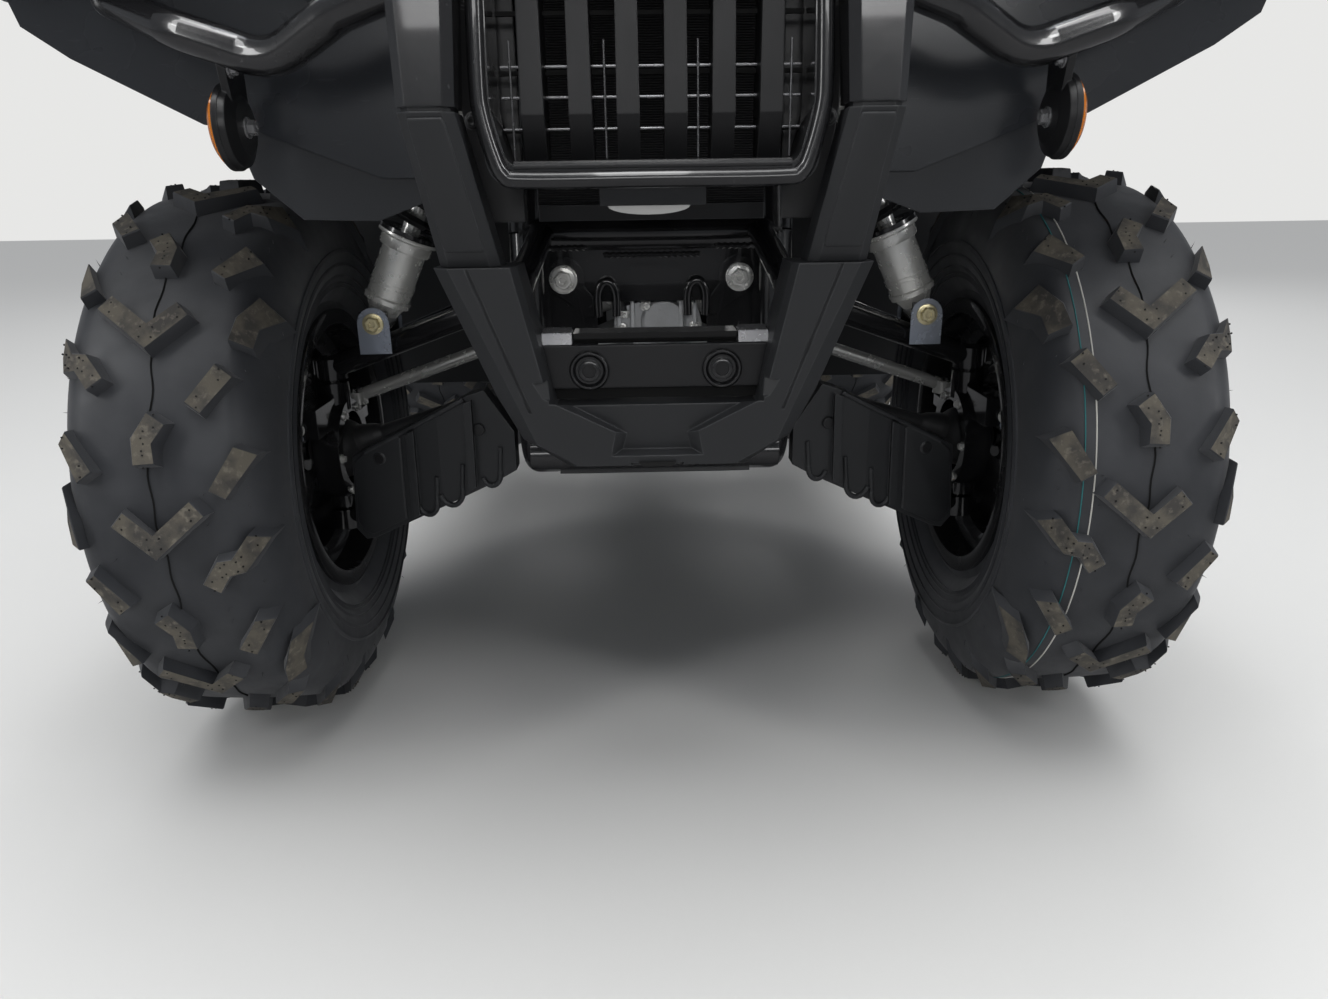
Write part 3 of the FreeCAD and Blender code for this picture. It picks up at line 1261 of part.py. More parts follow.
def make_hitch():
    """The flange on the frame's rear beam and the tongue with its pin hole."""
    axle_y = "front_axle_y + wheel_base"
    flange = bound_box("HitchFlange", ("-70", "140"), (axle_y + " + 178.3", "7.7"), ("330", "70"))
    tongue = bound_box("HitchTongue", ("-32", "64"), (axle_y + " + 180", "110"), ("336", "10"))
    hole = bound_cylinder("HitchHole", Vector(0, 0, 1), "hitch_pin_radius", "40", "0",
                          axle_y + " + 258", "320")
    finished("hitch", cut_by("hitch", fused("HitchBody", [flange, tongue]), hole))


def write_pieces():
    """Checks every object and writes each piece to its own file."""
    doc.recompute()
    for thing in doc.Objects:
        if "Invalid" in thing.State or "Error" in thing.State:
            raise RuntimeError("failed: %s" % thing.Label)
    os.makedirs("parts", exist_ok=True)
    for feature in pieces:
        shape = feature.Shape
        if shape.isNull() or not shape.isValid():
            raise RuntimeError("bad shape: %s" % feature.Label)
        shape.exportStep("parts/%s.step" % feature.Label)


make_wheels()
make_front_suspension()
make_steering()
make_rear_suspension()
make_shocks()
make_frame()
make_drive()
make_engine()
make_exhaust()
make_skid_plate()
make_footwells()
make_lower_guard()
make_bumper()
make_grille()
make_bodywork()
make_lamps()
make_racks()
make_hitch()
write_pieces()
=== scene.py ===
"""The looks of a utility quad bike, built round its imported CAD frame.

Metres. The nose is at -Y, the machine's left side at +X, the floor at Z = 0.
Tables of places are in millimetres and counted back from the front axle, as in the part's source.
"""
import json
import random
from math import cos, exp, hypot, pi, radians, sin

import bmesh
import bpy
from mathutils import Matrix, Vector
from mathutils.bvhtree import BVHTree


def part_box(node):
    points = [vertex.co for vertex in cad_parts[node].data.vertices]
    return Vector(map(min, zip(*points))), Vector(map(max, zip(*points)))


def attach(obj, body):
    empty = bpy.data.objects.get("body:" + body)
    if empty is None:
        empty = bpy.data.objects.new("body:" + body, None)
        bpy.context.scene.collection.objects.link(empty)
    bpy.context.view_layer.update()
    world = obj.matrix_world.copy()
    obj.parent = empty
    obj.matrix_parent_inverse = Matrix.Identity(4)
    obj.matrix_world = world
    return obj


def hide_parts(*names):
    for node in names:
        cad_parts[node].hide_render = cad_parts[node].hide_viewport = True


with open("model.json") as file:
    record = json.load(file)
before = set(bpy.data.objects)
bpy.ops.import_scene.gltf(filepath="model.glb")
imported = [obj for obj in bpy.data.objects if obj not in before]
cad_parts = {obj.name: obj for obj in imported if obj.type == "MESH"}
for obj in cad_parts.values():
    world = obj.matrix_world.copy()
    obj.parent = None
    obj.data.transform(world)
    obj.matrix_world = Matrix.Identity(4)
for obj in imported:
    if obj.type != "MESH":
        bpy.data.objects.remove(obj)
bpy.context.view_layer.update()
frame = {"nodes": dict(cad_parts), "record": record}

FRONT_AXLE_Y = -0.645
REAR_AXLE_Y = FRONT_AXLE_Y + 1.28
AXLE_Z = 0.304
SIDES = ((1, "left"), (-1, "right"))

# The photograph's camera: its size and focal length in pixels, then its place and tilt.
PHOTO_WIDTH, FOCAL_PX = 1328, 929
CAMERA_PLACE = Vector((-0.0094, FRONT_AXLE_Y - 1.0825, 0.588))
CAMERA_DOWN, CAMERA_RIGHT, CAMERA_ROLL = 18.28, 1.117, -0.861

DOWN, BACK, AHEAD = Vector((0, 0, -1)), Vector((0, 1, 0)), Vector((0, -1, 0))


def axle(x, from_axle, z):
    """A point counted back from the front axle, given in millimetres."""
    return Vector((x / 1000, FRONT_AXLE_Y + from_axle / 1000, z / 1000))


def axles(places, side=1):
    """The same for many places, mirrored for side -1."""
    return [axle(side * x, from_axle, z) for x, from_axle, z in places]


def slope(x, half, low, high):
    """Corners of a rectangle from its lower to its upper edge's (from_axle, z)."""
    return axles((x + way * half, *edge) for way, edge in ((-1, low), (1, low), (1, high), (-1, high)))


def circle(count):
    """(cosine, sine) at even steps of a full turn."""
    turns = [2 * pi * k / count for k in range(count)]
    return [(cos(turn), sin(turn)) for turn in turns]


def put(thing, **values):
    for name, value in values.items():
        setattr(thing, name, value)


# Materials

class Look:
    """A material under construction: its node tree and its main shader's sockets."""

    def __init__(self, name, colour, roughness, metallic=0):
        self.material = bpy.data.materials.new(name)
        self.material.use_nodes = True
        self.tree = self.material.node_tree
        self.sockets = self.tree.nodes["Principled BSDF"].inputs
        self.set(base_color=(*colour, 1), roughness=roughness, metallic=metallic)
        self.place = self.add("TexCoord", "Object")

    def set(self, **values):
        """Sets plain values on the shader's own sockets."""
        for name, value in values.items():
            self.sockets["IOR" if name == "ior" else name.replace("_", " ").title()].default_value = value
        return self

    def link(self, value, socket):
        self.tree.links.new(value, socket)
        return self

    def add(self, kind, output, sockets=None, **settings):
        """An output of a new node, whose sockets take plain values or links from other nodes."""
        node = self.tree.nodes.new("ShaderNode" + kind)
        put(node, **settings)
        for name, value in (sockets or {}).items():
            if isinstance(value, bpy.types.NodeSocket):
                self.link(value, node.inputs[name])
            else:
                node.inputs[name].default_value = value
        return node.outputs[output]

    def noise(self, scale, detail, rough=0.55, stretch=None):
        """A noise value; stretch squeezes it along the axes."""
        place = self.place
        if stretch:
            place = self.add("Mapping", "Vector", {"Scale": stretch, "Vector": place})
        sockets = {"Scale": scale, "Detail": detail, "Roughness": rough, "Vector": place}
        return self.add("TexNoise", "Fac", sockets)

    def cells(self, scale):
        return self.add("TexVoronoi", "Distance", {"Scale": scale, "Vector": self.place})

    def ramp(self, value, low, high, first=0, last=1):
        """Stretches a value between low and high to first..last."""
        spread = {"From Min": low, "From Max": high, "To Min": first, "To Max": last, "Value": value}
        return self.add("MapRange", "Result", spread)

    def patches(self, scale, detail, *spread):
        """Noise, stretched as by ramp."""
        return self.ramp(self.noise(scale, detail), *spread)

    def tint(self, share, colour):
        """Blends another colour into the base colour by share."""
        base = self.sockets["Base Color"]
        below = base.links[0].from_socket if base.is_linked else base.default_value
        sockets = {"Factor": share, "A": below, "B": (*colour, 1)}
        return self.link(self.add("Mix", "Result", sockets, data_type="RGBA"), base)

    def stain(self, scale, detail, low, high, most, colour):
        """Tints in patches; most is the share at their middle."""
        return self.tint(self.patches(scale, detail, low, high, 0, most), colour)

    def mottle(self, *patches):
        """Takes the roughness from patches."""
        return self.link(self.patches(*patches), self.sockets["Roughness"])

    def bump(self, value, distance, strength):
        """Adds a bump on top of what is there; distance in metres."""
        normal = self.sockets["Normal"]
        sockets = {"Strength": strength, "Distance": distance, "Height": value}
        if normal.is_linked:
            sockets["Normal"] = normal.links[0].from_socket
        return self.link(self.add("Bump", "Normal", sockets), normal)

    def grain(self, scale, detail, distance, strength):
        return self.bump(self.noise(scale, detail), distance, strength)

    def soften(self, radius):
        """Rounds sharp edges for the light alone."""
        return self.link(self.add("Bevel", "Normal", {"Radius": radius}), self.sockets["Normal"])

    def edges(self, radius):
        """A value that is high along worn edges."""
        normals = {0: self.add("Bevel", "Normal", {"Radius": radius}), 1: self.add("NewGeometry", "Normal")}
        return self.ramp(self.add("VectorMath", "Value", normals, operation="DOT_PRODUCT"), 0.995, 0.85)


def plastic(name, colour, roughness, wear=(0.16, 0.165, 0.175)):
    """Moulded plastic with a fine leather-like grain and slightly paler edges."""
    look = Look(name, colour, roughness).soften(0.0018).grain(1400, 2, 0.00012, 0.5)
    look.mottle(9, 5, 0.35, 0.7, roughness - 0.06, roughness + 0.08)
    worn = {0: look.edges(0.0012), 1: look.patches(60, 4, 0.35, 0.75, 0.1, 0.6)}
    return look.tint(look.add("Math", "Value", worn, operation="MULTIPLY"), wear)


def panel(name, colour, roughness):
    """Smooth glossy body plastic with fine haze, dust and hair scratches."""
    look = Look(name, colour, roughness).set(coat_weight=0.35, coat_roughness=0.12)
    look.mottle(3.5, 5, 0.25, 0.8, roughness - 0.03, roughness + 0.07)
    look.stain(900, 1, 0.7, 0.78, 0.12, (0.1, 0.1, 0.1))
    scratch = look.noise(40, 2, 0.5, (1, 14, 9))
    look.tint(look.ramp(scratch, 0.68, 0.72, 0, 0.1), (0.1, 0.1, 0.11))
    return look.grain(7, 2, 0.0006, 0.25)


def paint(name, colour, roughness):
    """Glossy paint with a light orange peel and a clear coat."""
    look = Look(name, colour, roughness).soften(0.0015).set(coat_weight=1, coat_roughness=0.04)
    look.grain(90, 2, 0.0002, 0.35)
    look.mottle(14, 6, 0.3, 0.8, roughness - 0.05, roughness + 0.12)
    return look.stain(320, 1, 0.72, 0.8, 0.25, (0.12, 0.12, 0.125))


def zinc(name, colour, yellow):
    """Bright plated steel; yellow is the share of straw-coloured patches."""
    look = Look(name, colour, 0.24, 0.65).soften(0.0008)
    look.stain(14, 3, 0.35, 0.8, yellow * 0.6, (0.9, 0.82, 0.58))
    look.stain(19, 3, 0.5, 0.85, 0.2, (0.62, 0.66, 0.74))
    return look.mottle(90, 3, 0.3, 0.7, 0.2, 0.3).grain(300, 2, 0.00003, 0.3)


def cast(name, colour):
    """Sand-cast aluminium, pitted and a little stained."""
    look = Look(name, colour, 0.45, 0.9).soften(0.002).grain(420, 3, 0.0004, 0.6)
    look.stain(18, 6, 0.45, 0.8, 0.55, (0.3, 0.29, 0.28))
    return look.mottle(60, 4, 0.3, 0.7, 0.34, 0.58)


def rubber(name, colour, roughness):
    look = Look(name, colour, roughness).set(sheen_weight=0.15, sheen_roughness=0.5)
    look.grain(700, 3, 0.0001, 0.5).stain(12, 6, 0.42, 0.75, 0.4, (0.07, 0.072, 0.078))
    return look.mottle(30, 5, 0.3, 0.7, roughness - 0.12, roughness + 0.1)


def lug_dust(name):
    """The tan-grey dust that lies on the lugs' tops."""
    look = Look(name, (0.105, 0.094, 0.075), 0.9)
    look.stain(45, 6, 0.42, 0.62, 0.85, (0.042, 0.04, 0.039))
    look.stain(160, 3, 0.55, 0.7, 0.7, (0.17, 0.153, 0.125))
    return look.grain(380, 4, 0.0004, 0.6)


def vinyl(name):
    look = Look(name, (0.02, 0.02, 0.021), 0.5)
    look.bump(look.cells(520), 0.0004, 0.6).grain(60, 3, 0.0006, 0.2)
    look.mottle(8, 5, 0.3, 0.7, 0.42, 0.58)
    return look.stain(6, 6, 0.45, 0.8, 0.5, (0.045, 0.045, 0.048))


def lens(name, colour, roughness, transmission):
    look = Look(name, colour, roughness)
    look.set(transmission_weight=transmission, ior=1.49, coat_weight=0.6)
    return look.bump(look.cells(190), 0.0007, 0.35)


def burnt_steel(name):
    look = Look(name, (0.42, 0.4, 0.38), 0.42, 0.9)
    look.stain(10, 6, 0.4, 0.65, 0.7, (0.2, 0.15, 0.11))
    look.stain(25, 4, 0.55, 0.75, 0.4, (0.2, 0.22, 0.3))
    return look.grain(260, 4, 0.0003, 0.5)


def fins(name):
    """Thin upright folds of a radiator's core between flat tubes."""
    look = Look(name, (0.008, 0.008, 0.009), 0.45, 0.5)
    wave = look.add("TexWave", "Fac", {"Scale": 160, "Vector": look.place}, bands_direction="Z")
    look.tint(look.ramp(wave, 0.2, 0.9, 0, 0.8), (0.035, 0.035, 0.037))
    return look.bump(wave, 0.0015, 0.8)


# One look for each material slot of the record, then a few for pieces made here.
LOOK_ROWS = (
    (rubber, "tyre", (0.024, 0.026, 0.031), 0.52),
    (paint, "wheel_steel", (0.012, 0.012, 0.013), 0.22),
    (cast, "cast_metal", (0.5, 0.51, 0.52)),
    (paint, "frame_black", (0.01, 0.01, 0.011), 0.2),
    (plastic, "guard_plastic", (0.021, 0.022, 0.024), 0.42),
    (plastic, "satin_plastic", (0.012, 0.012, 0.013), 0.36),
    (rubber, "boot_rubber", (0.014, 0.014, 0.015), 0.5),
    (zinc, "zinc_steel", (0.86, 0.86, 0.84), 0.25),
    (rubber, "grip_rubber", (0.014, 0.014, 0.014), 0.7),
    (zinc, "lever_metal", (0.32, 0.32, 0.33), 0),
    (paint, "spring_steel", (0.012, 0.012, 0.013), 0.25),
    (burnt_steel, "exhaust_steel"),
    (fins, "radiator_metal"),
    (lens, "lamp_clear", (0.92, 0.95, 0.98), 0.04, 0.92),
    (lens, "amber_plastic", (0.9, 0.27, 0.02), 0.12, 0.35),
    (lens, "red_plastic", (0.65, 0.015, 0.01), 0.12, 0.35),
    (panel, "body_plastic", (0.02, 0.022, 0.026), 0.26),
    (plastic, "liner_plastic", (0.018, 0.02, 0.024), 0.44),
    (vinyl, "seat_vinyl"),
    (paint, "rack_steel", (0.012, 0.012, 0.012), 0.42),
    (lug_dust, "dust"),
    (Look, "chalk_line", (0.55, 0.54, 0.5), 0.8),
    (Look, "teal_line", (0.02, 0.16, 0.17), 0.7),
    # A near-black that paints shade: in the grille's recess, the gap and slot under the guard plate, and the
    # tyres' pin holes and middle seam.
    (Look, "black_void", (0.004, 0.004, 0.004), 0.8),
    (zinc, "yellow_zinc", (0.82, 0.72, 0.42), 0.6),
    (zinc, "blue_zinc", (0.36, 0.4, 0.48), 0.15),
    (Look, "gloss_black", (0.004, 0.004, 0.004), 0.12),
    (Look, "pale_alloy", (0.5, 0.5, 0.49), 0.4, 0.3),
    (plastic, "dark_bars", (0.009, 0.009, 0.01), 0.42, (0.05, 0.05, 0.055)),
    (rubber, "hose_rubber", (0.01, 0.01, 0.011), 0.32),
)
LOOKS = {name: kind(name, *values) for kind, name, *values in LOOK_ROWS}

LEG_GROOVE_Z = 0.6425
GRILLE_HALF, GRILLE_FOOT_Z = 0.1085, 0.604
LOUVRE_Y = FRONT_AXLE_Y - 0.3635


def second_look(name, look, wanted):
    """Gives part of a CAD node, picked by its faces' middles, another look."""
    mesh = frame["nodes"][name].data
    mesh.materials.append(LOOKS[look].material)
    turn = frame["nodes"][name].matrix_world
    for face in mesh.polygons:
        if wanted(turn @ face.center):
            face.material_index = len(mesh.materials) - 1


def dress_nodes():
    """Gives each carried-over CAD node the look of its slot, and parts of a few nodes another one."""
    for row in frame["record"]["subparts"]:
        node = frame["nodes"][row["node"]]
        node.data.materials.clear()
        node.data.materials.append(LOOKS[row["material_slot"]].material)
    for side in ("left", "right"):
        second_look("knuckle_front_" + side, "frame_black", lambda place: True)
    second_look("bumper_legs", "frame_black", lambda place: place.z > LEG_GROOVE_Z)
    second_look("grille", "frame_black", lambda place: abs(place.x) > GRILLE_HALF or place.z < GRILLE_FOOT_Z)
    second_look("grille", "dark_bars", lambda place: abs(place.x) < GRILLE_HALF and place.z > GRILLE_FOOT_Z)
    # Every face behind the louvres' plane gets the near-black: painted shade in the grille's recess.
    second_look("grille", "black_void", lambda place: place.y > LOUVRE_Y)


# Mesh helpers

def new_object(name, data):
    piece = bpy.data.objects.new(name, data)
    bpy.context.scene.collection.objects.link(piece)
    return piece


def new_mesh(name, bm):
    mesh = bpy.data.meshes.new(name)
    bm.to_mesh(mesh)
    bm.free()
    return mesh


def dress(piece, looks, slot=None, body="root"):
    """Gives a piece its looks and its body. The slot, which is its first look where none is given, is worked
    out but not used.
    """
    for look in looks:
        piece.data.materials.append(LOOKS[look].material)
    piece.data.shade_smooth()
    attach(piece, body)
    slot or looks[0]


def add_mesh(name, bm, looks, slot=None, body="root"):
    """Turns a bmesh into a piece; looks is one string."""
    bmesh.ops.recalc_face_normals(bm, faces=bm.faces)
    piece = new_object(name, new_mesh(name, bm))
    dress(piece, looks.split(), slot, body)
    piece.data.set_sharp_from_angle(angle=radians(32))
    return piece


def points(bm, places):
    return [bm.verts.new(place) for place in places]


def skin(bm, rings, look=0):
    """Joins closed rings of points, each to the next."""
    for low, high in zip(rings, rings[1:]):
        for k, point in enumerate(low):
            j = (k + 1) % len(low)
            bm.faces.new((point, low[j], high[j], high[k])).material_index = look


def solid(bm, rings, look=0):
    """Joins rings and closes the first and the last."""
    skin(bm, rings, look)
    for ring in (rings[0], rings[-1]):
        bm.faces.new(ring).material_index = look


def ring_of(bm, middle, side, other, radius, count):
    """Points round a middle, in the plane of two directions; radius in millimetres."""
    return points(bm, [middle + (side * c + other * s) * (radius / 1000) for c, s in circle(count)])


def smooth_line(line, steps):
    """A curve through the points of a line."""
    curve = []
    ends = [line[0] * 2 - line[1]] + list(line) + [line[-1] * 2 - line[-2]]
    for a, b, c, d in zip(ends, ends[1:], ends[2:], ends[3:]):
        for step in range(steps):
            t = step / steps
            curve.append(0.5 * (2 * b + (c - a) * t + (2 * a - 5 * b + 4 * c - d) * t ** 2
                                + (3 * b - a - 3 * c + d) * t ** 3))
    return curve + [line[-1]]


def sweep(bm, line, radius, sides=12, look=0):
    """A round bar along a line, closed at both ends; radius in millimetres."""
    side = (line[1] - line[0]).orthogonal().normalized()
    rings = []
    for i, point in enumerate(line):
        run = (line[min(i + 1, len(line) - 1)] - line[max(i - 1, 0)]).normalized()
        side = (side - run * side.dot(run)).normalized()
        rings.append(ring_of(bm, point, side, run.cross(side), radius, sides))
    solid(bm, rings, look)


def hose(bm, places, steps, radius, sides=12, look=0, side=1):
    """A round bar along a curve through places of a table."""
    sweep(bm, smooth_line(axles(places, side), steps), radius, sides, look)


TIP_RADIUS = 0.01


def lathe(bm, place, axis, profile, steps=32, look=0):
    """A turned form; profile rows are (along the axis, radius) in millimetres. It is a hollow ring unless an
    end lies on the axis."""
    axis = Vector(axis).normalized()
    hollow = min(profile[0][1], profile[-1][1]) > TIP_RADIUS
    rows = profile[:-1] if profile[0] == profile[-1] else profile
    side = axis.orthogonal().normalized()
    other = axis.cross(side)
    rings = [ring_of(bm, place + axis * along / 1000, side, other, max(radius, TIP_RADIUS), steps)
             for along, radius in rows]
    if hollow:
        rings.append(rings[0])
    skin(bm, rings, look)
    for (along, radius), ring in zip((profile[0], profile[-1]), (rings[0], rings[-1])):
        if radius <= TIP_RADIUS:
            bm.faces.new(ring).material_index = look


def prism(bm, corners, depth, look=0):
    """A flat outline of points, thickened by the vector depth."""
    solid(bm, [points(bm, corners), points(bm, [corner + depth for corner in corners])], look)


def plate(bm, y, corners, depth, look=0, side=1):
    """An upright plate across the machine, from its (x, z) corners; depth in millimetres."""
    prism(bm, axles([(x, y, z) for x, z in corners], side), BACK * (depth / 1000), look)


def oblong(half, low, high):
    return (-half, low), (half, low), (half, high), (-half, high)


def bolt(bm, place, axis, radius, height, look=0):
    """A hexagon head on its washer, radius across the corners in millimetres."""
    axis = Vector(axis).normalized()
    washer = ((0, 0), (0, radius * 1.35), (1.4, radius * 1.35), (1.8, radius * 1.2), (1.8, 0))
    head = ((0, 0), (0, radius), (height * 0.85, radius), (height, radius * 0.82), (height, radius * 0.45),
            (height * 0.8, radius * 0.4), (height * 0.8, 0))
    lathe(bm, place, axis, washer, 28, look)
    lathe(bm, place + axis * 0.0018, axis, head, 6, look)


# Tyres

TYRE_RADIUS = 0.304
CROWN_RADIUS = 0.290
DEGREE = radians(1) * CROWN_RADIUS
WHEELS = (("front", FRONT_AXLE_Y, 0.098, 0.082), ("rear", REAR_AXLE_Y, 0.122, 0.104))
TABLE_HALF = 0.098
HALF_REPEATS = 10
RING_STEPS = 180
PIN_RADIUS = 0.0009
LUG_ROWS = (
    # One repeat of the tread: each lug's share of the height, width in mm, and line (across in mm, degrees
    # along). It comes again mirrored, half a repeat on.
    (1, 17, ((-43, 5), (0, -1.9), (29, 3.4))),
    (1, 19, ((1, -23.6), (0, -19.6), (13, -15.8))),
    (0.95, 17, ((-41, -10), (-55, -6.2), (-69, -5.9), (-85, -1.6))),
    (0.95, 17, ((-52, -25.5), (-76, -18.6))),
    (0.95, 16, ((-77, -38.5), (-80, -34), (-92, -28))),
    (0.95, 17, ((-43, -50.3), (-68, -43.6))),
    (0.95, 16, ((-60, -65), (-82, -57.4))),
)


def crown_line(half):
    """Radius of the carcass against the distance from the tyre's middle."""
    def radius(across):
        share = abs(across) / half
        return CROWN_RADIUS - 0.006 * share ** 2 - 0.042 * max(0, share - 0.62) ** 2 / 0.144
    return radius


def tyre_profile(half, rim_half):
    """(across, radius) round the section, from the inner bead over the crown to the outer bead."""
    radius = crown_line(half)
    seat = rim_half - 0.008
    side = [(-seat, 0.1503), (-seat - 0.004, 0.160), (-seat - 0.003, 0.172), (-half + 0.010, 0.185),
            (-half + 0.002, 0.205), (-half, 0.228)]
    crown = [(half * step / 12, radius(half * step / 12)) for step in range(-11, 12)]
    return side + crown + [(-across, r) for across, r in reversed(side)]


def on_wheel(across, turn, radius):
    """A place on a wheel about X, at an angle up from straight ahead."""
    return Vector((across, -radius * cos(turn), radius * sin(turn)))


def wheel_ring(bm, steps, section, look=0):
    """Joins the sections, lists of (across, radius) for each turn, all the way round."""
    rings = []
    for step in range(steps):
        turn = 2 * pi * step / steps
        rings.append(points(bm, [on_wheel(x, turn, radius) for x, radius in section(turn)]))
    skin(bm, rings + rings[:1], look)


def lug_outline(line, width):
    """Corner points (across, degrees) of a bar of even width along a line."""
    line = [Vector((x, v * DEGREE)) for x, v in line]
    left, right = [], []
    for i, point in enumerate(line):
        before = (point - line[i - 1]).normalized() if i else (line[1] - point).normalized()
        after = (line[i + 1] - point).normalized() if i + 1 < len(line) else before
        along = (before + after).normalized()
        out = Vector((-along.y, along.x))
        reach = width / 2000 / max(0.5, out.dot(Vector((-before.y, before.x))))
        left.append(point + out * reach)
        right.append(point - out * reach)
    return [(p.x, p.y / DEGREE) for p in left + right[::-1]]


def add_lug(bm, outline, radius, height):
    """A lug with sloping sides on the carcass; its top is dusty."""
    count = len(outline)
    middle = sum(x for x, v in outline) / count, sum(v for x, v in outline) / count

    def ring(lift, grow):
        places = []
        for x, v in outline:
            dx, dv = x - middle[0], (v - middle[1]) * DEGREE
            reach = hypot(dx, dv)
            x, v = x + dx / reach * grow, v + dv / reach * grow / DEGREE
            places.append(on_wheel(x, radians(v), radius(x) + lift))
        return points(bm, places)

    top = ring(height, -0.0012)
    skin(bm, [ring(-0.003, 0.0035), ring(height - 0.0012, 0), top])
    for i in range(count // 2 - 1):
        bm.faces.new((top[i], top[i + 1], top[count - 2 - i], top[count - 1 - i])).material_index = 1


def add_pins(bm, line, width, radius, height):
    """Dark discs let into a lug's top, where the mould's pins were; their near-black is painted shade of the
    pin holes.
    """
    for first, second in zip(line, line[1:]):
        for share in (0.16, 0.86):
            x = first[0] + (second[0] - first[0]) * share
            for off in (-0.28, 0.28):
                v = first[1] + (second[1] - first[1]) * share + off * width / 5.1
                turn = radians(v)
                out, along = on_wheel(0, turn, 1), Vector((0, sin(turn), cos(turn)))
                centre = on_wheel(x, turn, radius(x) + height - 0.0008)
                rim = [centre + (Vector((1, 0, 0)) * c + along * s) * PIN_RADIUS for c, s in circle(6)]
                prism(bm, rim, out * 0.0009, 2)


def add_line(bm, x, radius, thick, look=0):
    """A fine ridge round the tyre at one place across."""
    ridge = (-1, -0.6), (-0.5, 0.5), (0.5, 0.5), (1, -0.6)
    section = [(x + dx * thick, radius + dr * thick) for dx, dr in ridge]
    wheel_ring(bm, 144, lambda turn: section, look)


def add_seam(bm, radius):
    """The mould's parting line along the tread's middle, which wanders a little."""
    def section(turn):
        x = 0.0022 * sin(turn * 11) + 0.0012 * sin(turn * 37 + 1)
        ridge = (-0.0012, -0.0004), (0, 0.0016), (0.0008, -0.0004)
        return [(x + dx, radius(x) + lift) for dx, lift in ridge]
    # The seam is drawn in the near-black of painted shade, down in the tread between the lugs.
    wheel_ring(bm, 240, section, 2)


def add_hairs(bm, half, radius):
    """Short rubber hairs that the mould's vents leave."""
    draw = random.Random(7)
    for _ in range(90):
        share = draw.choice((-0.98, -0.8, -0.45, 0.45, 0.8, 0.98))
        x, turn = share * half, draw.uniform(0, 2 * pi)
        out = on_wheel(0.25 * share, turn, 1)
        foot = on_wheel(x, turn, radius(x))
        along = Vector((0, sin(turn), cos(turn)))
        length = draw.uniform(0.004, 0.009)
        tip = foot + out * length + along * draw.uniform(-0.3, 0.3) * length
        root, width = foot - out * 0.001, along * 0.0005
        ends = points(bm, (root - width, root + width, root + Vector((0.0007, 0, 0))))
        top = bm.verts.new(tip)
        for i in range(3):
            bm.faces.new((ends[i], ends[(i + 1) % 3], top))
        bm.faces.new(ends[::-1])


def tyre_mesh(half, rim_half):
    """A whole tyre about X at the origin."""
    bm = bmesh.new()
    profile = tyre_profile(half, rim_half)
    wheel_ring(bm, RING_STEPS, lambda turn: profile)
    radius = crown_line(half)
    scale = half / TABLE_HALF
    for turn in range(HALF_REPEATS):
        for share, width, row in LUG_ROWS:
            line = [((-1) ** turn * x * scale / 1000, v + 36.0 * turn) for x, v in row]
            height = (TYRE_RADIUS - CROWN_RADIUS) * share
            add_lug(bm, lug_outline(line, width * scale), radius, height)
            if abs(row[0][0]) < 55:
                add_pins(bm, line, width, radius, height)
    add_seam(bm, radius)
    add_hairs(bm, half, radius)
    for side in (1, -1):
        for share, reach in ((0.905, 0.188), (0.925, 0.1925), (0.955, 0.2), (0.985, 0.2125)):
            add_line(bm, side * half * share, reach, 0.0022)
        add_line(bm, side * half, 0.2275, 0.0026)
    return bm


def make_tyres():
    for end, axle_y, half, rim_half in WHEELS:
        for side, name in SIDES:
            wheel = "%s_%s" % (end, name)
            node = "tyre_" + wheel
            low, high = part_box(node)
            bm = tyre_mesh(half, rim_half)
            if node == "tyre_front_left":
                for x, thick, look in ((-0.050, 0.0007, 3), (-0.060, 0.0006, 4)):
                    add_line(bm, x, crown_line(half)(x) + 0.0004, thick, look)
            turn = Matrix.Scale(side, 4, Vector((1, 0, 0)))
            place = Matrix.Translation(((low.x + high.x) / 2, axle_y, AXLE_Z))
            bmesh.ops.transform(bm, matrix=place @ turn, verts=bm.verts)
            # The third look, near-black, paints the shade in the pin holes and along the middle seam.
            looks = "tyre dust black_void chalk_line teal_line"
            tyre = add_mesh(node + "_rubber", bm, looks, body="wheel_body_" + wheel)
            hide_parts(node)


# Small pieces of the nose

EAR_HALF, EAR_DROP = 0.0175, 0.033
SHOCK_COLLARS = (
    (0, ((23, 18), (23, 25.6), (28, 26.2), (30, 25.2), (30, 24.1), (23, 18))),
    (0, ((84, 24.1), (84, 27), (86, 28), (95, 28), (97, 30), (97, 32.6), (99.4, 33), (100.8, 32.6),
         (100.8, 24))),
    (0, ((40, 24), (40, 24.7), (42, 24.7), (42, 24))),
    (0, ((44.5, 24), (44.5, 24.7), (46.5, 24.7), (46.5, 24))),
    (3, ((97.5, 31), (97.5, 31.8), (105.5, 31.8), (105.5, 20))),
)


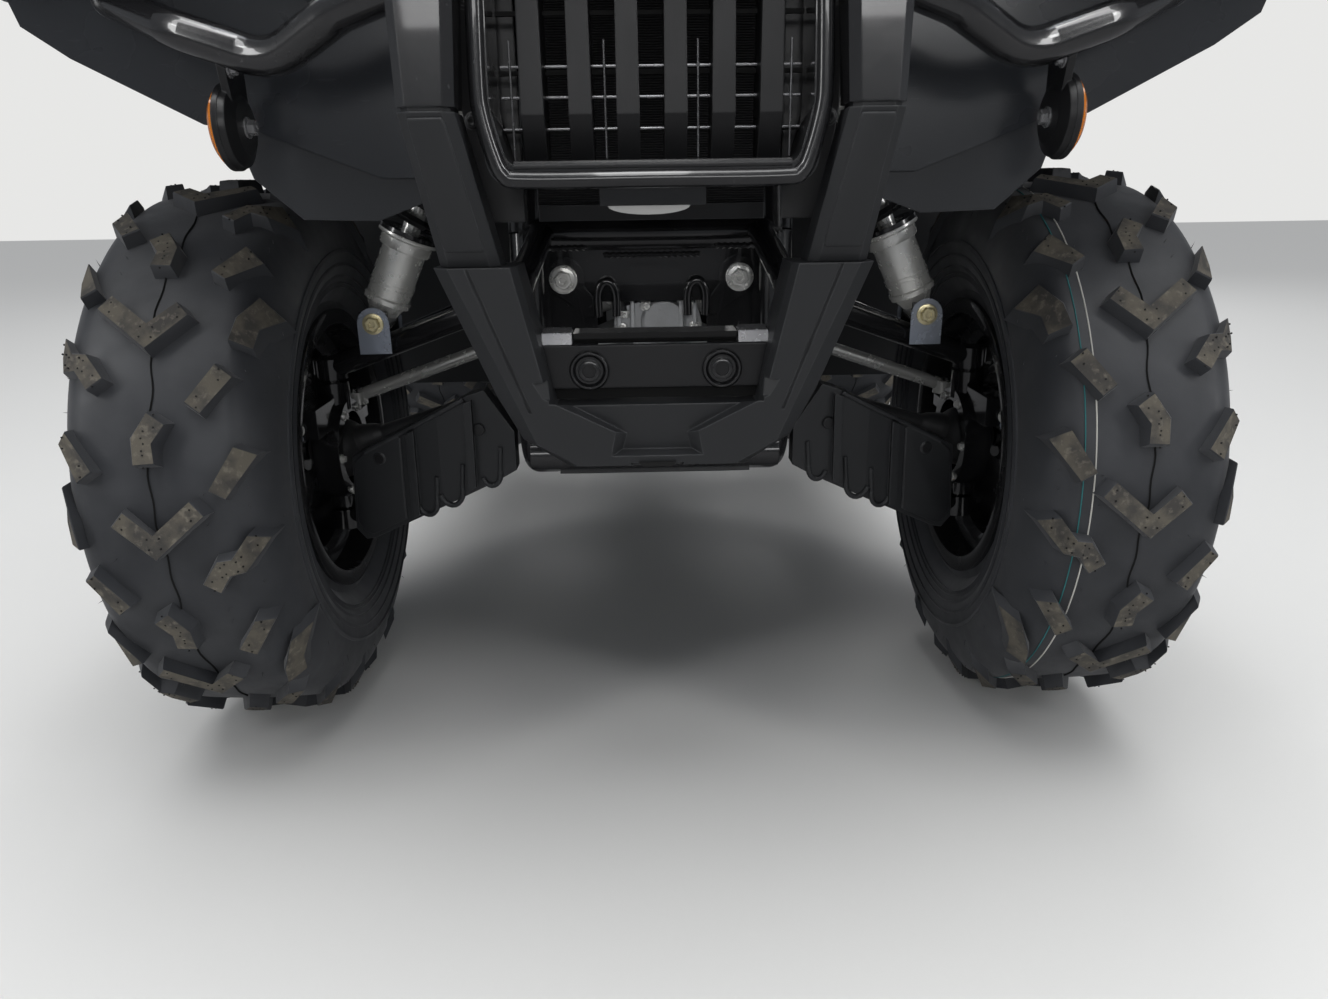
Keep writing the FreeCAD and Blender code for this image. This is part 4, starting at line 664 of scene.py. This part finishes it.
def shock_trim(bm):
    """Collars on each shock, and the ears and bolts at its lower eye."""
    arc = [Vector((-cos(a * pi / 10), 0, sin(a * pi / 10))) * EAR_HALF for a in range(11)]
    ear = [Vector((-EAR_HALF, 0, -EAR_DROP))] + arc + [Vector((EAR_HALF, 0, -EAR_DROP))]
    for y, eye_x, eye_z, top_x, top_z in ((-20, 305, 455.8, 186, 716), (1260, 285, 450.6, 186, 712)):
        for side in (1, -1):
            eye = axle(side * eye_x, y, eye_z)
            run = (axle(side * top_x, y, top_z) - eye).normalized()
            for look, profile in SHOCK_COLLARS:
                lathe(bm, eye, run, profile, 40, look)
            for front in (-1, 1):
                face, thick = eye + BACK * front * 0.027, BACK * front * 0.0018
                prism(bm, [face + corner for corner in ear], thick, 1)
                bolt(bm, face + thick, thick, 8.5, 6.5, 2)


DISHED_BOLT = ((-3, 0), (-3, 15), (0.4, 15.4), (1.6, 14.6), (1.6, 13.2), (-1.2, 11), (-1.2, 8.6), (2.6, 8.2),
               (3, 7.4), (3, 5.4), (0.2, 4.8), (0.2, 0))


def guard_trim(bm):
    """Dished bolts, the bright pads over the plate, the beam between them, and near-black sheets of painted
    shade: one in the gap under the plate and one in the bottom slot.
    """
    for side in (1, -1):
        lathe(bm, axle(side * 53, -346.3, 454), AHEAD, DISHED_BOLT, 40, 0)
        x = side * 78
        prism(bm, slope(x, 12, (-346, 474.8), (-341, 483.5)), BACK * 0.02, 1)
        lip = ((x - 12, -341, 483.5), (x + 12, -341, 483.5), (x + 11, -325, 486), (x - 11, -325, 486))
        prism(bm, axles(lip), DOWN * 0.002, 1)
    prism(bm, slope(0, 65, (-339, 474.8), (-341, 483)), BACK * 0.03, 3)
    # A near-black sheet of painted shade filling the dark gap under the plate.
    plate(bm, -338, oblong(90, 430, 442), 10, 2)
    # The bottom slot, drawn as a near-black plate of painted shade.
    plate(bm, -359.6, ((-15, 381), (15, 381), (12, 377.5), (-12, 377.5)), 6, 2)


LEG_LOW_Z, LEG_HIGH_Z = 538.3, 640


def leg_place(side, share, height, proud):
    """A point on the front face of a bumper leg, between its two parts' lower end and its groove."""
    t = (height - LEG_LOW_Z) / (LEG_HIGH_Z - LEG_LOW_Z)
    low, high = 113 + 18 * t + 7, 157 + 12 * t - 7
    return axle(side * (low + (high - low) * share), -384 - 40 * t - proud * 0.93, height - proud * 0.37)


def leg_panels(bm):
    """The raised panel on the charcoal lower part of each bumper leg."""
    outline = ((0.06, 549.5), (0, 553.5), (0, 634), (0.05, 637), (0.95, 637), (1, 634),
               (1, 553.5), (0.94, 549.5))
    inner = [(0.5 + (share - 0.5) * 0.95, z + (1 if z < 600 else -1)) for share, z in outline]
    for side in (1, -1):
        rings = [points(bm, [leg_place(side, share, z, proud) for share, z in line])
                 for line, proud in ((outline, -0.6), (outline, 1.1), (inner, 1.7))]
        skin(bm, rings)
        bm.faces.new(rings[-1])


def grille_trim(bm):
    """The glossy lip round the grille's foot, the fine wires behind its bars and the pale curve below."""
    route = [(-115.5, 712), (-117, 660), (-116, 641), (-110, 616), (-103, 601), (-88, 597.5)]
    route += [(0, 597.5)] + [(-x, z) for x, z in route[::-1]]
    hose(bm, [(x, -401, z) for x, z in route], 6, 6.2, 14)
    sweep(bm, axles((x, -400.5, 607) for x in (-96, 0, 96)), 3.2, 10)
    for z in (632, 653, 673):
        sweep(bm, axles((x, -366, z) for x in (-106, 0, 106)), 1.1, 8, 1)
    for x in (-99, -33, 33, 99):
        sweep(bm, axles((x, -366.8, z) for z in (612, 690)), 0.9, 6, 1)
    bow = [(-3 - 31 * cos(a * pi / 12), 579 - 6.5 * sin(a * pi / 12)) for a in range(1, 12)]
    plate(bm, -352, [(28, 579), (-34, 579)] + bow, 4, 2)
    plate(bm, -350, oblong(40, 579, 596), 3)


def nose_castings(bm):
    """Ribs, cover, hoses and wire over the front differential."""
    lathe(bm, axle(12, -116, 462), BACK, ((0, 0), (0, 20), (2, 23), (20, 24), (24, 0)))
    for x in (-34, -20, 30, 44):
        prism(bm, slope(x, 2, (-118, 446), (-116, 484)), BACK * 0.045)
    plate(bm, -112, ((-40, 448), (50, 448), (52, 458), (46, 481), (20, 486), (-14, 482), (-38, 474)), 40)
    for x, z in ((-32, 455), (44, 456), (38, 476), (-6, 478)):
        bolt(bm, axle(x, -112, z), AHEAD, 4.6, 4, 1)
    breather = ((0, 0), (0, 8), (10, 8), (12, 10), (15, 10), (16, 7), (26, 6), (26, 0))
    lathe(bm, axle(8, -100, 480), -DOWN, breather, 24)
    for radius, route in (
        (6.5, ((-30, -108, 470), (-36, -112, 488), (-30, -112, 503), (-14, -108, 507), (-2, -96, 504))),
        (4.5, ((8, -100, 504), (2, -92, 518), (-18, -70, 530), (-40, -40, 540), (-60, 0, 545))),
        (3, ((36, -106, 480), (38, -108, 498), (26, -100, 512), (14, -84, 520), (10, -50, 530))),
        (1.5, ((-24, -114, 492), (-12, -119, 512), (8, -122, 521), (28, -120, 514), (40, -117, 494),
               (45, -114, 476))),
    ):
        hose(bm, route, 10, radius, 14, 2)
    lathe(bm, axle(-30, -108, 466), -DOWN, ((0, 6), (0, 8), (7, 8), (7, 6)), 20, 1)


def arm_guard_trim(bm):
    """The raised outer panel, the top lip and the curved pockets of each wishbone shield."""

    def face(side, x, z, proud):
        """A point over the shield's outer or inner plane."""
        if x > 232:
            y, out = -110 + (x - 232) * 30 / 118, (0.246, -0.969)
        else:
            y, out = -128 + (x - 120) * 18 / 112, (0.159, -0.987)
        return axle(side * (x + out[0] * proud), y + out[1] * proud, z)

    outline = ((276, 247), (274, 340), (280, 343), (316, 324), (331, 310), (335, 240), (328, 229), (318, 226))
    for side in (1, -1):
        rings = []
        for inset, proud in ((0, -0.5), (0, 1.6), (1.8, 2.6)):
            rings.append(points(bm, [face(side, x + (305 - x) * inset / 40, z + (285 - z) * inset / 50, proud)
                                     for x, z in outline]))
        skin(bm, rings)
        bm.faces.new(rings[-1])
        lip = ((200, 384), (232, 367), (262, 351.5), (300, 331.5), (318, 322))
        sweep(bm, [face(side, x, z, 0.4) for x, z in lip], 2.8, 10)
        for x, z, radius in ((222, 283, 13), (250, 268, 11), (176, 303, 10)):
            turns = [radians(a) for a in range(170, 341, 17)]
            arc = [face(side, x + radius * cos(a), z + radius * sin(a) * 1.3, 0.6) for a in turns]
            sweep(bm, arc, 3, 10)
            sweep(bm, [arc[0], face(side, x - radius - 2, z + 30, 0.2)], 2.6, 10)
        for x, z, proud in ((186, 352, 1), (300, 316, 2.2)):
            button = ((-1, 0), (-1, 6.5), (1.2, 6.5), (2, 5.4), (2, 0))
            lathe(bm, face(side, x, z, proud), (side * 0.2, -0.98, 0), button, 24, 1)


def inner_panels(bm):
    """Dark panels that close the gaps beside and under the grille and under the fenders' front walls."""
    flap = ((192, 612), (262, 624), (330, 650), (352, 650), (338, 604), (300, 570), (236, 568), (192, 584))
    carrier = ((98, 786), (140, 745), (140, 650), (128, 568), (98, 568))
    for side in (1, -1):
        plate(bm, -237.5, flap, 3, 0, side)
        plate(bm, -339, carrier, 3, 1, side)
        for z in (640, 720):
            bolt(bm, axle(side * 132, -339, z), AHEAD, 4.5, 4, 1)
    plate(bm, -254, oblong(96, 566, 579), 3, 1)


def pivot_washers(bm):
    """Broad washers and ears at the front heads of the wishbones' bolts, hose loops and weld beads."""
    loop = ((54, -128, 470), (54, -130, 492), (49, -131, 503), (41, -131, 503), (36, -130, 492),
            (36, -128, 470))
    turns = [radians(a) for a in range(-20, 201, 20)]
    ear = [(88 + 21 * cos(a), 507 + 21 * sin(a)) for a in turns] + [(50, 476), (62, 470)]
    for side in (1, -1):
        place = axle(side * 88, -129, 507)
        lathe(bm, place, AHEAD, ((0, 0), (0, 14), (4.6, 14), (5, 13.4), (5, 0)), 48)
        bolt(bm, place + AHEAD * 0.005, AHEAD, 9, 6)
        plate(bm, -124, ear, -5, 1, side)
        hose(bm, loop, 6, 4.5, 14, 1, side)
    for start, end, z in ((-104, -60, 540), (60, 104, 540), (-45, 45, 533)):
        count = int((end - start) / 3)
        bead = [(start + 3 * i, -183.5, z + (0.7 if i % 2 else -0.4)) for i in range(count + 1)]
        sweep(bm, axles(bead), 2.6, 8, 1)


NUT_OFF, DRUM_CIRCLE = 29.698, 51
RIM_LINE = ((-2.6, 147), (-2.6, 163.4), (1, 163.4), (1.8, 162), (1.8, 152), (0.6, 147))
VALVE = ((0, 0), (0, 5.5), (8, 5), (10, 3.6), (28, 3.4), (28, 4.4), (36, 4.2), (36, 0))


def make_wheel_trim():
    """Nuts, valve and rim lines, and the fittings and hose of the front brakes."""
    for end, axle_y, centre, rim_half in (("front", 0, 447, 82), ("rear", 1280, 475, 104)):
        for side, name in SIDES:
            bm = bmesh.new()
            for c, s in ((1, 1), (-1, 1), (-1, -1), (1, -1)):
                place = axle(side * (centre + 28), axle_y + NUT_OFF * c, 304 + NUT_OFF * s)
                bolt(bm, place, (side, 0, 0), 8.2, 11)
            lathe(bm, axle(side * (centre + rim_half - 36), axle_y, 304 - 140), (side, 0, 0.5), VALVE, 16, 1)
            for off in (-1, 1):
                place = axle(side * centre + off * (rim_half - 0.4), axle_y, 304)
                lathe(bm, place, (off, 0, 0), RIM_LINE, 96, 2)
            wheel, looks = "%s_%s" % (end, name), "zinc_steel boot_rubber wheel_steel"
            add_mesh("wheel_trim_" + wheel, bm, looks, "wheel_steel", "wheel_body_" + wheel)
    for side, name in SIDES:
        bm = bmesh.new()
        route = ((402, -74, 373), (402, -76, 390), (398, -66, 404), (396, -44, 400), (394, -22, 388))
        hose(bm, route, 10, 4.2, 12, 0, side)
        banjo = ((0, 0), (0, 7), (5, 7), (5, 5.4), (12, 5.2), (12, 0))
        lathe(bm, axle(side * 402, -74, 371), -DOWN, banjo, 20, 1)
        bolt(bm, axle(side * 386, -96, 350), AHEAD, 6.5, 5, 2)
        bolt(bm, axle(side * 386, -96, 340), AHEAD, 4.5, 4, 1)
        cup = ((-1, 0), (-1, 8), (1.5, 8), (2.5, 6.5), (2.5, 0))
        for z in (343, 365):
            lathe(bm, axle(side * 425, -96, z), AHEAD, cup, 24, 2)
        for c, s in circle(6):
            place = axle(side * 357, DRUM_CIRCLE * c, 304 + DRUM_CIRCLE * s)
            bolt(bm, place, (-side, 0, 0), 4.2, 3.2, 2)
        looks = "hose_rubber blue_zinc zinc_steel"
        add_mesh("brake_fittings_" + name, bm, looks, "cast_metal", "knuckle_" + name)


def reflector_trim(bm):
    """The bolts and the outer ring of each reflector."""
    for side in (1, -1):
        bolt(bm, axle(side * 317, -290, 641), (-side, 0, 0), 6, 5.5)
        ring = ((-1.5, 29.2), (-1.5, 32.2), (3.2, 32.2), (3.6, 31), (3.6, 29.2))
        lathe(bm, axle(side * 328, -290, 641), (side, 0, 0), ring, 64, 1)
        bolt(bm, axle(side * 319, -304, 682), (-side, 0, 0), 5.2, 4.5)


# Pieces laid on the CAD surfaces

def placed(name):
    """A node's faces in world places."""
    bm = bmesh.new()
    bm.from_mesh(frame["nodes"][name].data)
    bm.transform(frame["nodes"][name].matrix_world)
    return bm


def surface(name):
    """A search tree of a node's faces."""
    bm = placed(name)
    tree = BVHTree.FromBMesh(bm)
    bm.free()
    return tree


RIVET = ((-0.5, 0), (-0.5, 8.5), (0.8, 8.5), (1.8, 7.4), (1.8, 4.6), (1.2, 4.2), (1.2, 3), (2.4, 2.4),
         (2.4, 0))


def studs(bm, tree, starts, way, add, *form):
    """Lays fasteners where rays from the starts meet the surface."""
    way = Vector(way)
    for start in starts:
        place, normal = tree.ray_cast(start, way)[:2]
        if place is not None:
            add(bm, place, -normal if normal.dot(way) > 0 else normal, *form)


def body_rivets(bm):
    front, rear = surface("front_fenders"), surface("rear_fenders")
    top = ((230, 1120), (230, 1600), (400, 1120), (400, 1610), (130, 1200), (130, 1600))
    for side in (1, -1):
        studs(bm, front, axles([(172, y, 1200) for y in (-270, -150, 0, 150)], side), DOWN, lathe, RIVET, 20)
        studs(bm, front, axles(((900, 355, 700), (900, 365, 640)), side), (-side, 0, 0), lathe, RIVET, 20)
        studs(bm, rear, axles([(x, y, 1200) for x, y in top], side), DOWN, lathe, RIVET, 20)


def engine_bolts(bm):
    """Bolts round the engine's covers, their hub rings and the plug with its lead."""
    tree = surface("engine")
    for side, y, z, radius, count in ((1, 480, 400, 81, 8), (1, 740, 395, 82, 8), (-1, 600, 412, 88, 9)):
        ring = [axle(side * 600, y + radius * c, z + radius * s) for c, s in circle(count)]
        studs(bm, tree, ring, (-side, 0, 0), bolt, 6.5, 5.5)
    studs(bm, tree, [axle(x, y, 900) for x in (-52, 52) for y in (530, 625)], DOWN, bolt, 6.5, 5.5)
    cover = ((-1, 0), (-1, 30), (1, 32), (4, 31), (5, 27), (3, 24), (3, 0))
    lathe(bm, axle(172, 480, 400), (1, 0, 0), cover, 40, 1)
    starter = ((-1, 0), (-1, 34), (3, 34), (5, 30), (5, 8), (9, 7), (9, 0))
    lathe(bm, axle(-164, 600, 412), (-1, 0, 0), starter, 40, 1)
    hose(bm, ((58, 586, 668), (92, 586, 676), (112, 620, 684), (104, 690, 690)), 8, 3.8, 12, 2)
    lathe(bm, axle(52, 586, 668), (1, 0, 0), ((0, 0), (0, 9), (14, 9), (16, 7), (26, 6), (26, 0)), 24, 2)


MUFFLER_X, MUFFLER_Z = -32, 585
SHIELD_LOW, SHIELD_HIGH, SHIELD_ROWS = 1110, 1352, 9


def exhaust_trim(bm):
    """Bands on the muffler and a slotted shield over it."""

    def place(degrees, y, radius):
        turn = radians(degrees)
        return axle(MUFFLER_X + radius * cos(turn), y, MUFFLER_Z + radius * sin(turn))

    for y in (1092, 1370):
        lathe(bm, axle(MUFFLER_X, y, MUFFLER_Z), BACK, ((-7, 57), (-7, 60.5), (7, 60.5), (7, 57)), 64)
    pitch = (SHIELD_HIGH - SHIELD_LOW) / SHIELD_ROWS
    for part in range(SHIELD_ROWS):
        low, high = SHIELD_LOW + pitch * part + 4, SHIELD_LOW + pitch * (part + 1) - 4
        for first, last in ((118, 150), (154, 186), (190, 222)):
            rings = []
            for k in range(7):
                turn = first + (last - first) * k / 6
                corners = (low, 63), (low, 65), (high, 65), (high, 63)
                rings.append(points(bm, [place(turn, y, radius) for y, radius in corners]))
            solid(bm, rings)
    for turn in (118, 152, 188, 222):
        sweep(bm, [place(turn, SHIELD_LOW, 64), place(turn, SHIELD_HIGH, 64)], 2.2, 8)
    for y in (1116, 1346):
        for turn in (152, 188):
            sweep(bm, [place(turn, y, 56), place(turn, y, 65.5)], 5, 12, 1)


BAR_Y, BAR_Z, GRIP_END = 301, 1157.5, 385
BAR_WAY = Vector((0.9532, 0.3022, 0))
CABLES = (
    ((-186, 322, 1140), (-150, 280, 1118), (-80, 258, 1080), (-22, 262, 1020), (-17, 238, 960)),
    ((-236, 322, 1150), (-180, 262, 1140), (-90, 236, 1092), (-8, 240, 1010), (-6, 226, 960)),
    ((236, 322, 1150), (180, 262, 1140), (90, 236, 1092), (8, 240, 1010), (8, 224, 960)),
    ((214, 330, 1134), (150, 285, 1112), (80, 262, 1074), (22, 262, 1016), (18, 238, 960)),
)


def grip_ribs(bm):
    for side in (1, -1):
        profile = [(-126, 16.2), (-126, 21.5), (-122, 22), (-118, 19)]
        for k in range(15):
            rib = -114 + k * 7.2
            profile += [(rib, 16.9), (rib + 1.2, 18.2), (rib + 4, 18.2), (rib + 5.2, 16.9)]
        profile += [(-3, 18.8), (2, 18.8), (5, 15.5), (5, 0)]
        lathe(bm, axle(side * GRIP_END, BAR_Y + 95, BAR_Z), (side * BAR_WAY.x, BAR_WAY.y, 0), profile, 40)


def bar_controls(bm):
    """Thumb lever, switch, cables and dial."""
    pod = ((-20, 0), (-20, 21), (-16, 24), (14, 24), (18, 21), (18, 0))
    lathe(bm, axle(-186, BAR_Y + 34, BAR_Z - 4), (-BAR_WAY.x, BAR_WAY.y, 0), pod)
    hose(bm, ((-196, 330, 1140), (-206, 352, 1131), (-226, 372, 1128), (-244, 384, 1130)), 6, 5.5, 12, 1)
    switch = axle(214, BAR_Y + 42, BAR_Z)
    lathe(bm, switch, BAR_WAY, ((-18, 0), (-18, 20), (-15, 23), (15, 23), (18, 20), (18, 0)))
    for dx, look in ((-0.008, 2), (0.008, 3)):
        button = ((0, 0), (0, 5), (4, 5), (5, 4), (5, 0))
        lathe(bm, switch + Vector((dx, -0.012, 0.018)), (0, -0.6, 0.8), button, 20, look)
    for route in CABLES:
        hose(bm, route, 12, 3.2, 12, 4)
    dial = axle(0, 292, 1158.5)
    up = Vector((0, 0.16, 1)).normalized()
    bezel = ((-3, 0), (-3, 33), (3.6, 33), (4.6, 31.5), (4.6, 29), (2, 28.5), (2, 0))
    lathe(bm, dial, up, bezel, 64)
    level = up.cross(Vector((1, 0, 0)))
    for k in range(9):
        turn = radians(-30 + k * 30)
        way = Vector((cos(turn), 0, 0)) + level * sin(turn)
        sweep(bm, [dial + up * 0.0022 + way * reach for reach in (0.022, 0.0265)], 0.7, 6, 5)
    hub = dial + up * 0.0028
    sweep(bm, [hub, hub + Vector((-0.014, 0, 0)) + level * 0.012], 0.8, 6, 3)
    lathe(bm, axle(-30, 322, 1155), up, ((0, 0), (0, 8), (3, 8), (3, 3), (9, 3), (9, 0)), 24, 1)


def stem_gaiter(bm):
    stem_way = Vector((0, 0.454, 0.891))
    folds = ((-14, 47), (-8, 48), (-4, 42), (2, 44), (6, 37), (11, 39), (15, 32), (20, 34), (24, 27),
             (32, 24), (34, 19), (34, 18.5), (30, 20), (-14, 40))
    lathe(bm, axle(0, 14, 515.4) + stem_way * 0.474, stem_way, folds, 48)


# The seat

CLOTH = {"quality": 5, "mass": 0.3, "tension_stiffness": 12, "compression_stiffness": 12,
         "shear_stiffness": 6, "bending_stiffness": 4, "use_pressure": True,
         "uniform_pressure_force": 4, "vertex_group_mass": "held"}
VOXEL = 0.006
SHRINK, MOST_SWELL = 0.005, 0.022
CROWN_LIMIT, SIDE_LIMIT = 0.011, 0.0005
SEAMS_Y, SEAM_BOW, SEAM_DEPTH = (785, 905), 0.05, 0.006
PIPING = ((618, 96), (680, 112), (740, 128), (800, 143), (860, 158), (930, 164), (1000, 169), (1070, 168),
          (1120, 167))


def baked(piece):
    """A copy of a piece's mesh with its modifiers applied."""
    return bpy.data.meshes.new_from_object(piece.evaluated_get(bpy.context.evaluated_depsgraph_get()))


def modify(piece, kind, **settings):
    """Changes a piece's mesh with a modifier for good."""
    put(piece.modifiers.new(kind, kind), **settings)
    piece.data = baked(piece)
    piece.modifiers.clear()
    return piece.data


def run_cloth(piece, pinned):
    """Swells a closed mesh with Cloth, with its resting points held."""
    piece.vertex_groups.new(name="held").add(pinned, 1, "REPLACE")
    cloth = piece.modifiers.new("swell", "CLOTH")
    put(cloth.settings, **CLOTH)
    cloth.settings.effector_weights.gravity = 0
    cloth.collision_settings.use_collision = False
    for step in range(1, 21):
        bpy.context.scene.frame_set(step)
    settled = baked(piece)
    bpy.context.scene.frame_set(1)
    piece.modifiers.remove(cloth)
    return settled


def make_cushion():
    """The CAD solid, remeshed, swollen by cloth, held near the solid and sewn across."""
    tree = surface("seat")
    cushion = new_object("seat_cushion", new_mesh("seat_cushion", placed("seat")))
    modify(cushion, "REMESH", mode="VOXEL", voxel_size=VOXEL)
    mesh = modify(cushion, "SMOOTH", factor=0.5, iterations=14)
    shrunk = [v.co - v.normal * SHRINK for v in mesh.vertices]
    resting = [v.index for v in mesh.vertices if v.normal.z < -0.7]
    for v, place in zip(mesh.vertices, shrunk):
        v.co = place
    settled = run_cloth(cushion, resting)
    for v, start, soft in zip(mesh.vertices, shrunk, settled.vertices):
        move = soft.co - start
        if move.length > MOST_SWELL:
            move *= MOST_SWELL / move.length
        v.co = start + move
    mesh.update()
    for v in mesh.vertices:
        hit, normal = tree.find_nearest(v.co)[:2]
        excess = (v.co - hit).dot(normal) - (CROWN_LIMIT if normal.z > 0.8 else SIDE_LIMIT)
        if excess > 0:
            v.co = v.co - normal * excess
        for seam_y in SEAMS_Y:
            away = v.co.y - axle(0, seam_y, 0).y - SEAM_BOW * (abs(v.co.x) / 0.15) ** 2
            if v.co.z > 0.80:
                v.co.z -= SEAM_DEPTH * exp(-(away / 0.0075) ** 2)
    mesh.update()
    mesh = modify(cushion, "SUBSURF", levels=1)
    mesh.materials.clear()
    dress(cushion, ["seat_vinyl"])
    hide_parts("seat")
    return cushion


def seat_piping(bm):
    """The cushion, with piping along its edges and stitches along its seams."""
    shape = BVHTree.FromObject(make_cushion(), bpy.context.evaluated_depsgraph_get())
    for side in (1, -1):
        line = []
        for y, wide in PIPING:
            hit, normal = shape.find_nearest(axle(side * wide, y, 852))[:2]
            line.append(hit + normal * 0.001)
        sweep(bm, smooth_line(line, 6), 3.2, 10)
    for seam_y in SEAMS_Y:
        line = []
        for k in range(-9, 10):
            x = k * 14
            start = axle(x, seam_y + SEAM_BOW * 1000 * (x / 150) ** 2, 1100)
            hit, normal = shape.ray_cast(start, DOWN)[:2]
            line.append(hit + normal * 0.0006)
        line = smooth_line(line, 6)
        for start in range(0, len(line) - 2, 3):
            sweep(bm, line[start:start + 3], 0.9, 6, 1)


# Builder, which also names the piece, its looks, its slot if that isn't its first look, and its body.
NOSE_PIECES = (
    (shock_trim, "zinc_steel blue_zinc yellow_zinc frame_black"),
    (guard_trim, "frame_black lever_metal black_void gloss_black", "guard_plastic"),
    (leg_panels, "guard_plastic"),
    (grille_trim, "frame_black lever_metal pale_alloy"),
    (nose_castings, "cast_metal zinc_steel hose_rubber"),
    (pivot_washers, "zinc_steel frame_black"),
)
BODY_PIECES = (
    (reflector_trim, "lever_metal satin_plastic", "satin_plastic"),
    (arm_guard_trim, "guard_plastic satin_plastic"),
    (inner_panels, "liner_plastic satin_plastic"),
    (body_rivets, "satin_plastic"),
    (engine_bolts, "zinc_steel cast_metal hose_rubber", "cast_metal"),
    (exhaust_trim, "frame_black zinc_steel", "exhaust_steel"),
    (grip_ribs, "grip_rubber", None, "steering"),
    (bar_controls, "satin_plastic lever_metal amber_plastic red_plastic hose_rubber chalk_line", None,
     "steering"),
    (stem_gaiter, "boot_rubber"),
    (seat_piping, "boot_rubber chalk_line", "seat_vinyl"),
)


def make_pieces(table):
    for build, looks, *rest in table:
        bm = bmesh.new()
        build(bm)
        add_mesh(build.__name__, bm, looks, *rest)


# Stage, lamps and camera

FLOOR_HALF = 14
LAMPS = (
    # Name, place, aim, width, height, watts.
    *[("ceiling_strip", (x, -1.4, 3.2), (x / 2, -0.7, 0), 0.35, 4.4, 24) for x in (-1.5, 0, 1.5)],
    ("left_panel", (-3.4, -2.8, 2), (0, -0.6, 0.4), 0.5, 2.6, 30),
    ("right_panel", (3.4, -2.8, 2.2), (0, -0.6, 0.4), 0.5, 2.6, 30),
    ("back_panel", (0.6, 4.2, 2.6), (0, 0.3, 0.6), 3.2, 1.4, 60),
    ("front_panel", (0.3, -4.6, 1.5), (0, -0.8, 0.4), 2.6, 0.5, 17),
)


def make_stage():
    """A pale floor, which is dark to what mirrors it."""
    look = Look("floor", (0.7, 0.7, 0.69), 0.55)
    look.grain(30, 3, 0.0005, 0.2)
    look.tint(look.add("LightPath", "Is Glossy Ray"), (0.16, 0.16, 0.165))
    bm = bmesh.new()
    bmesh.ops.create_grid(bm, x_segments=1, y_segments=1, size=FLOOR_HALF)
    floor = new_object("floor", new_mesh("floor", bm))
    floor.data.materials.append(look.material)


def make_lamps():
    """Lamps over and round the machine, a soft sun, and a backdrop that only the camera sees."""
    for name, place, aim, width, height, power in LAMPS:
        data = bpy.data.lights.new(name, "AREA")
        data.shape = "RECTANGLE"
        data.size, data.size_y, data.energy = width, height, power
        lamp = new_object(name, data)
        lamp.location = place
        lamp.rotation_euler = (Vector(aim) - Vector(place)).to_track_quat("-Z", "Y").to_euler()
    sky = bpy.data.lights.new("even_light", "SUN")
    sky.energy, sky.angle = 1.5, radians(50)
    new_object("even_light", sky)
    world = bpy.data.worlds.new("room")
    world.use_nodes = True
    tree = world.node_tree
    room, backdrop = tree.nodes["Background"], tree.nodes.new("ShaderNodeBackground")
    for node, colour, strength in ((room, (0.8, 0.84, 0.9), 0.2), (backdrop, (0.8, 0.8, 0.79), 1)):
        node.inputs["Color"].default_value = (*colour, 1)
        node.inputs["Strength"].default_value = strength
    path = tree.nodes.new("ShaderNodeLightPath")
    mix = tree.nodes.new("ShaderNodeMixShader")
    tree.links.new(path.outputs["Is Camera Ray"], mix.inputs["Fac"])
    tree.links.new(room.outputs["Background"], mix.inputs[1])
    tree.links.new(backdrop.outputs["Background"], mix.inputs[2])
    tree.links.new(mix.outputs["Shader"], tree.nodes["World Output"].inputs["Surface"])
    bpy.context.scene.world = world


def make_camera():
    """The photograph's camera."""
    down, right, roll = (radians(a) for a in (CAMERA_DOWN, CAMERA_RIGHT, CAMERA_ROLL))
    ahead = Vector((sin(right) * cos(down), cos(right) * cos(down), -sin(down)))
    level = Vector((cos(right), -sin(right), 0))
    upright = level.cross(ahead)
    across = level * cos(roll) + upright * sin(roll)
    up = upright * cos(roll) - level * sin(roll)
    data = bpy.data.cameras.new("photo_view")
    data.sensor_width = 36
    data.lens = data.sensor_width * FOCAL_PX / PHOTO_WIDTH
    data.clip_start = 0.02
    camera = new_object("photo_view", data)
    turn = Matrix((across, up, -ahead)).transposed().to_4x4()
    camera.matrix_world = Matrix.Translation(CAMERA_PLACE) @ turn
    bpy.context.scene.camera = camera


bpy.context.scene.view_settings.view_transform = "Standard"
for make in (make_camera, make_stage, make_lamps, dress_nodes, make_tyres):
    make()
make_pieces(NOSE_PIECES)
make_wheel_trim()
make_pieces(BODY_PIECES)
